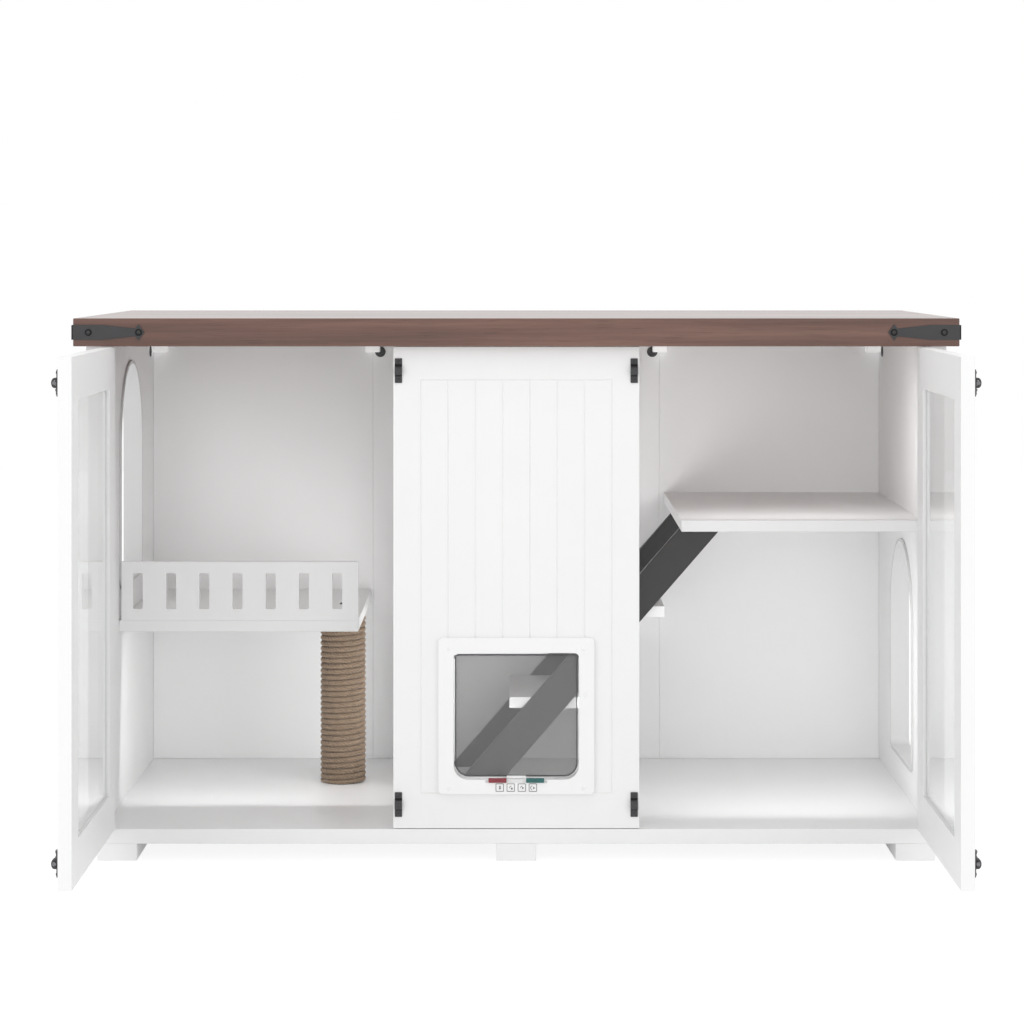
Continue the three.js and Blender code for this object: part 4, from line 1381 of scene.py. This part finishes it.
@dataclass
class Studio:
    """A white floor and background, soft lamps and the camera."""

    lens: float = 103.7
    camera_place: tuple[float, float, float] = (0.0, -4.302, 0.821)
    shift: tuple[float, float] = (-0.0042, -0.249)
    floor_size: float = 14.0
    look_at: tuple[float, float, float] = (0.0, 0.0, 0.35)
    back_wall: float = 0.3
    bay_lamp_droop: float = 0.06
    ambient: float = 0.95
    floor_white: float = 0.98
    floor_glow: float = 0.88
    floor_shadow: float = 0.2

    def build(self) -> None:
        """Sets up the world, the floor, the lamps and the camera."""
        bpy.context.scene.view_settings.view_transform = "Standard"
        self.set_world()
        self.add_floor()
        self.add_lamp("key_lamp", (-3.0, -8.2, 2.6), self.look_at, (4.8, 4.8), 64)
        self.add_lamp("fill_lamp", (3.3, -8.5, 0.5), self.look_at, (4.8, 4.8), 54)
        self.add_lamp("top_lamp", (0.2, 0.4, 3.4), self.look_at, (3.0, 3.0), 12)
        # Weak lamps inside the bays stand for the light that a studio reflects into them.
        for name, (x, y, level), size, power in (
            ("left_lower", (-0.365, -0.112, 0.17), (0.36, 0.2), 0.26),
            ("left_upper", (-0.365, -0.1, 0.53), (0.36, 0.2), 0.21),
            ("right_lower", (0.375, -0.2, 0.24), (0.32, 0.3), 0.38),
            ("right_upper", (0.375, -0.2, 0.58), (0.3, 0.18), 0.36),
            ("centre", (0.02, -0.25, 0.22), (0.26, 0.26), 1.5),
        ):
            aim = (x, self.back_wall, level - self.bay_lamp_droop)
            self.add_lamp(f"{name}_lamp", (x, y, level), aim, size, power)
        self.add_camera()

    def set_world(self) -> None:
        """White for what the camera, metal and glass see, and soft grey light for the rest."""
        world = bpy.data.worlds.new("studio_world")
        world.use_nodes = True
        bpy.context.scene.world = world
        tree = world.node_tree
        tree.nodes.clear()
        strength = tree.nodes.new("ShaderNodeMapRange")
        tree.links.new(self.directly_seen(tree), strength.inputs["Value"])
        strength.inputs["To Min"].default_value = self.ambient
        strength.inputs["To Max"].default_value = 1.0
        background = tree.nodes.new("ShaderNodeBackground")
        background.inputs["Color"].default_value = (1, 1, 1, 1)
        tree.links.new(strength.outputs[0], background.inputs["Strength"])
        output = tree.nodes.new("ShaderNodeOutputWorld")
        tree.links.new(background.outputs[0], output.inputs["Surface"])

    def directly_seen(self, tree: bpy.types.NodeTree) -> bpy.types.NodeSocket:
        """Tells what the camera, a reflection or a clear sheet shows from what only lights things.

        Args:
            tree: the nodes to add this to.

        Returns:
            1 for the first kind of ray and 0 for the second.
        """
        path = tree.nodes.new("ShaderNodeLightPath")
        seen = path.outputs["Is Camera Ray"]
        for kind in ("Is Glossy Ray", "Is Transmission Ray"):
            either = tree.nodes.new("ShaderNodeMath")
            either.operation = "MAXIMUM"
            tree.links.new(seen, either.inputs[0])
            tree.links.new(path.outputs[kind], either.inputs[1])
            seen = either.outputs[0]
        return seen

    def add_floor(self) -> None:
        """Lays a white floor that keeps a faint shadow and fades into the white background."""
        half = self.floor_size / 2
        mesh = bmesh.new()
        mesh.faces.new([mesh.verts.new((x, y, 0)) for x, y in rectangle((-half, half), (-half, half))])
        data = bpy.data.meshes.new("floor")
        mesh.to_mesh(data)
        mesh.free()
        floor = bpy.data.objects.new("floor", data)
        bpy.context.scene.collection.objects.link(floor)
        shading = Shading("studio_floor")
        lit, shadow = self.floor_white, self.floor_shadow
        shading.shade(Base_Color=(lit, lit, lit, 1), Roughness=0.9, Specular_IOR_Level=0.0)
        pale = shading.add("ShaderNodeBsdfDiffuse", Color=(shadow, shadow, shadow, 1))
        glow = shading.add("ShaderNodeEmission", Color=(1, 1, 1, 1), Strength=self.floor_glow)
        shown = shading.add("ShaderNodeAddShader")
        mixed = shading.add("ShaderNodeMixShader", Fac=self.directly_seen(shading.tree))
        output = next(n for n in shading.tree.nodes if n.type == "OUTPUT_MATERIAL")
        for source, target in (
            (pale, shown.inputs[0]),
            (glow, shown.inputs[1]),
            (shading.shader, mixed.inputs[1]),
            (shown, mixed.inputs[2]),
            (mixed, output.inputs["Surface"]),
        ):
            shading.tree.links.new(source.outputs[0], target)
        data.materials.append(shading.material)

    def add_lamp(
        self, name: str, place: Sequence[float], aim: Sequence[float], size: tuple[float, float], power: float
    ) -> None:
        """A soft lamp that isn't seen itself, in a view or in a reflection.

        Args:
            name: its name.
            place: where it hangs.
            aim: the point that it faces.
            size: its width and height.
            power: its power in watts.
        """
        data = bpy.data.lights.new(name, "AREA")
        data.shape = "RECTANGLE"
        data.size, data.size_y = size
        data.energy = power
        lamp = bpy.data.objects.new(name, data)
        lamp.location = place
        lamp.rotation_euler = (Vector(aim) - Vector(place)).to_track_quat("-Z", "Y").to_euler()
        lamp.visible_camera = False
        lamp.visible_glossy = False
        lamp.visible_transmission = False
        bpy.context.scene.collection.objects.link(lamp)

    def add_camera(self) -> None:
        """The camera at the photograph's viewing angle."""
        data = bpy.data.cameras.new("camera")
        data.lens = self.lens
        data.sensor_width = 36.0
        data.shift_x, data.shift_y = self.shift
        camera = bpy.data.objects.new("camera", data)
        camera.location = self.camera_place
        camera.rotation_euler = (math.pi / 2, 0, 0)
        bpy.context.scene.collection.objects.link(camera)
        bpy.context.scene.camera = camera


def main() -> None:
    """Builds the sub-assemblies in order, then the studio."""
    logging.basicConfig(level=logging.INFO, format="%(name)s: %(message)s")
    stages = [Carcass(), TopSlab(), CatFlap(), LedgeWithRailing(), ScratchingPost(), ShelfAndStair()]
    stages += [Door(side) for side in Side]
    stages.append(Studio())
    for stage in stages:
        LOG.info("building %s", type(stage).__name__)
        stage.build()


if __name__ == "__main__":
    main()
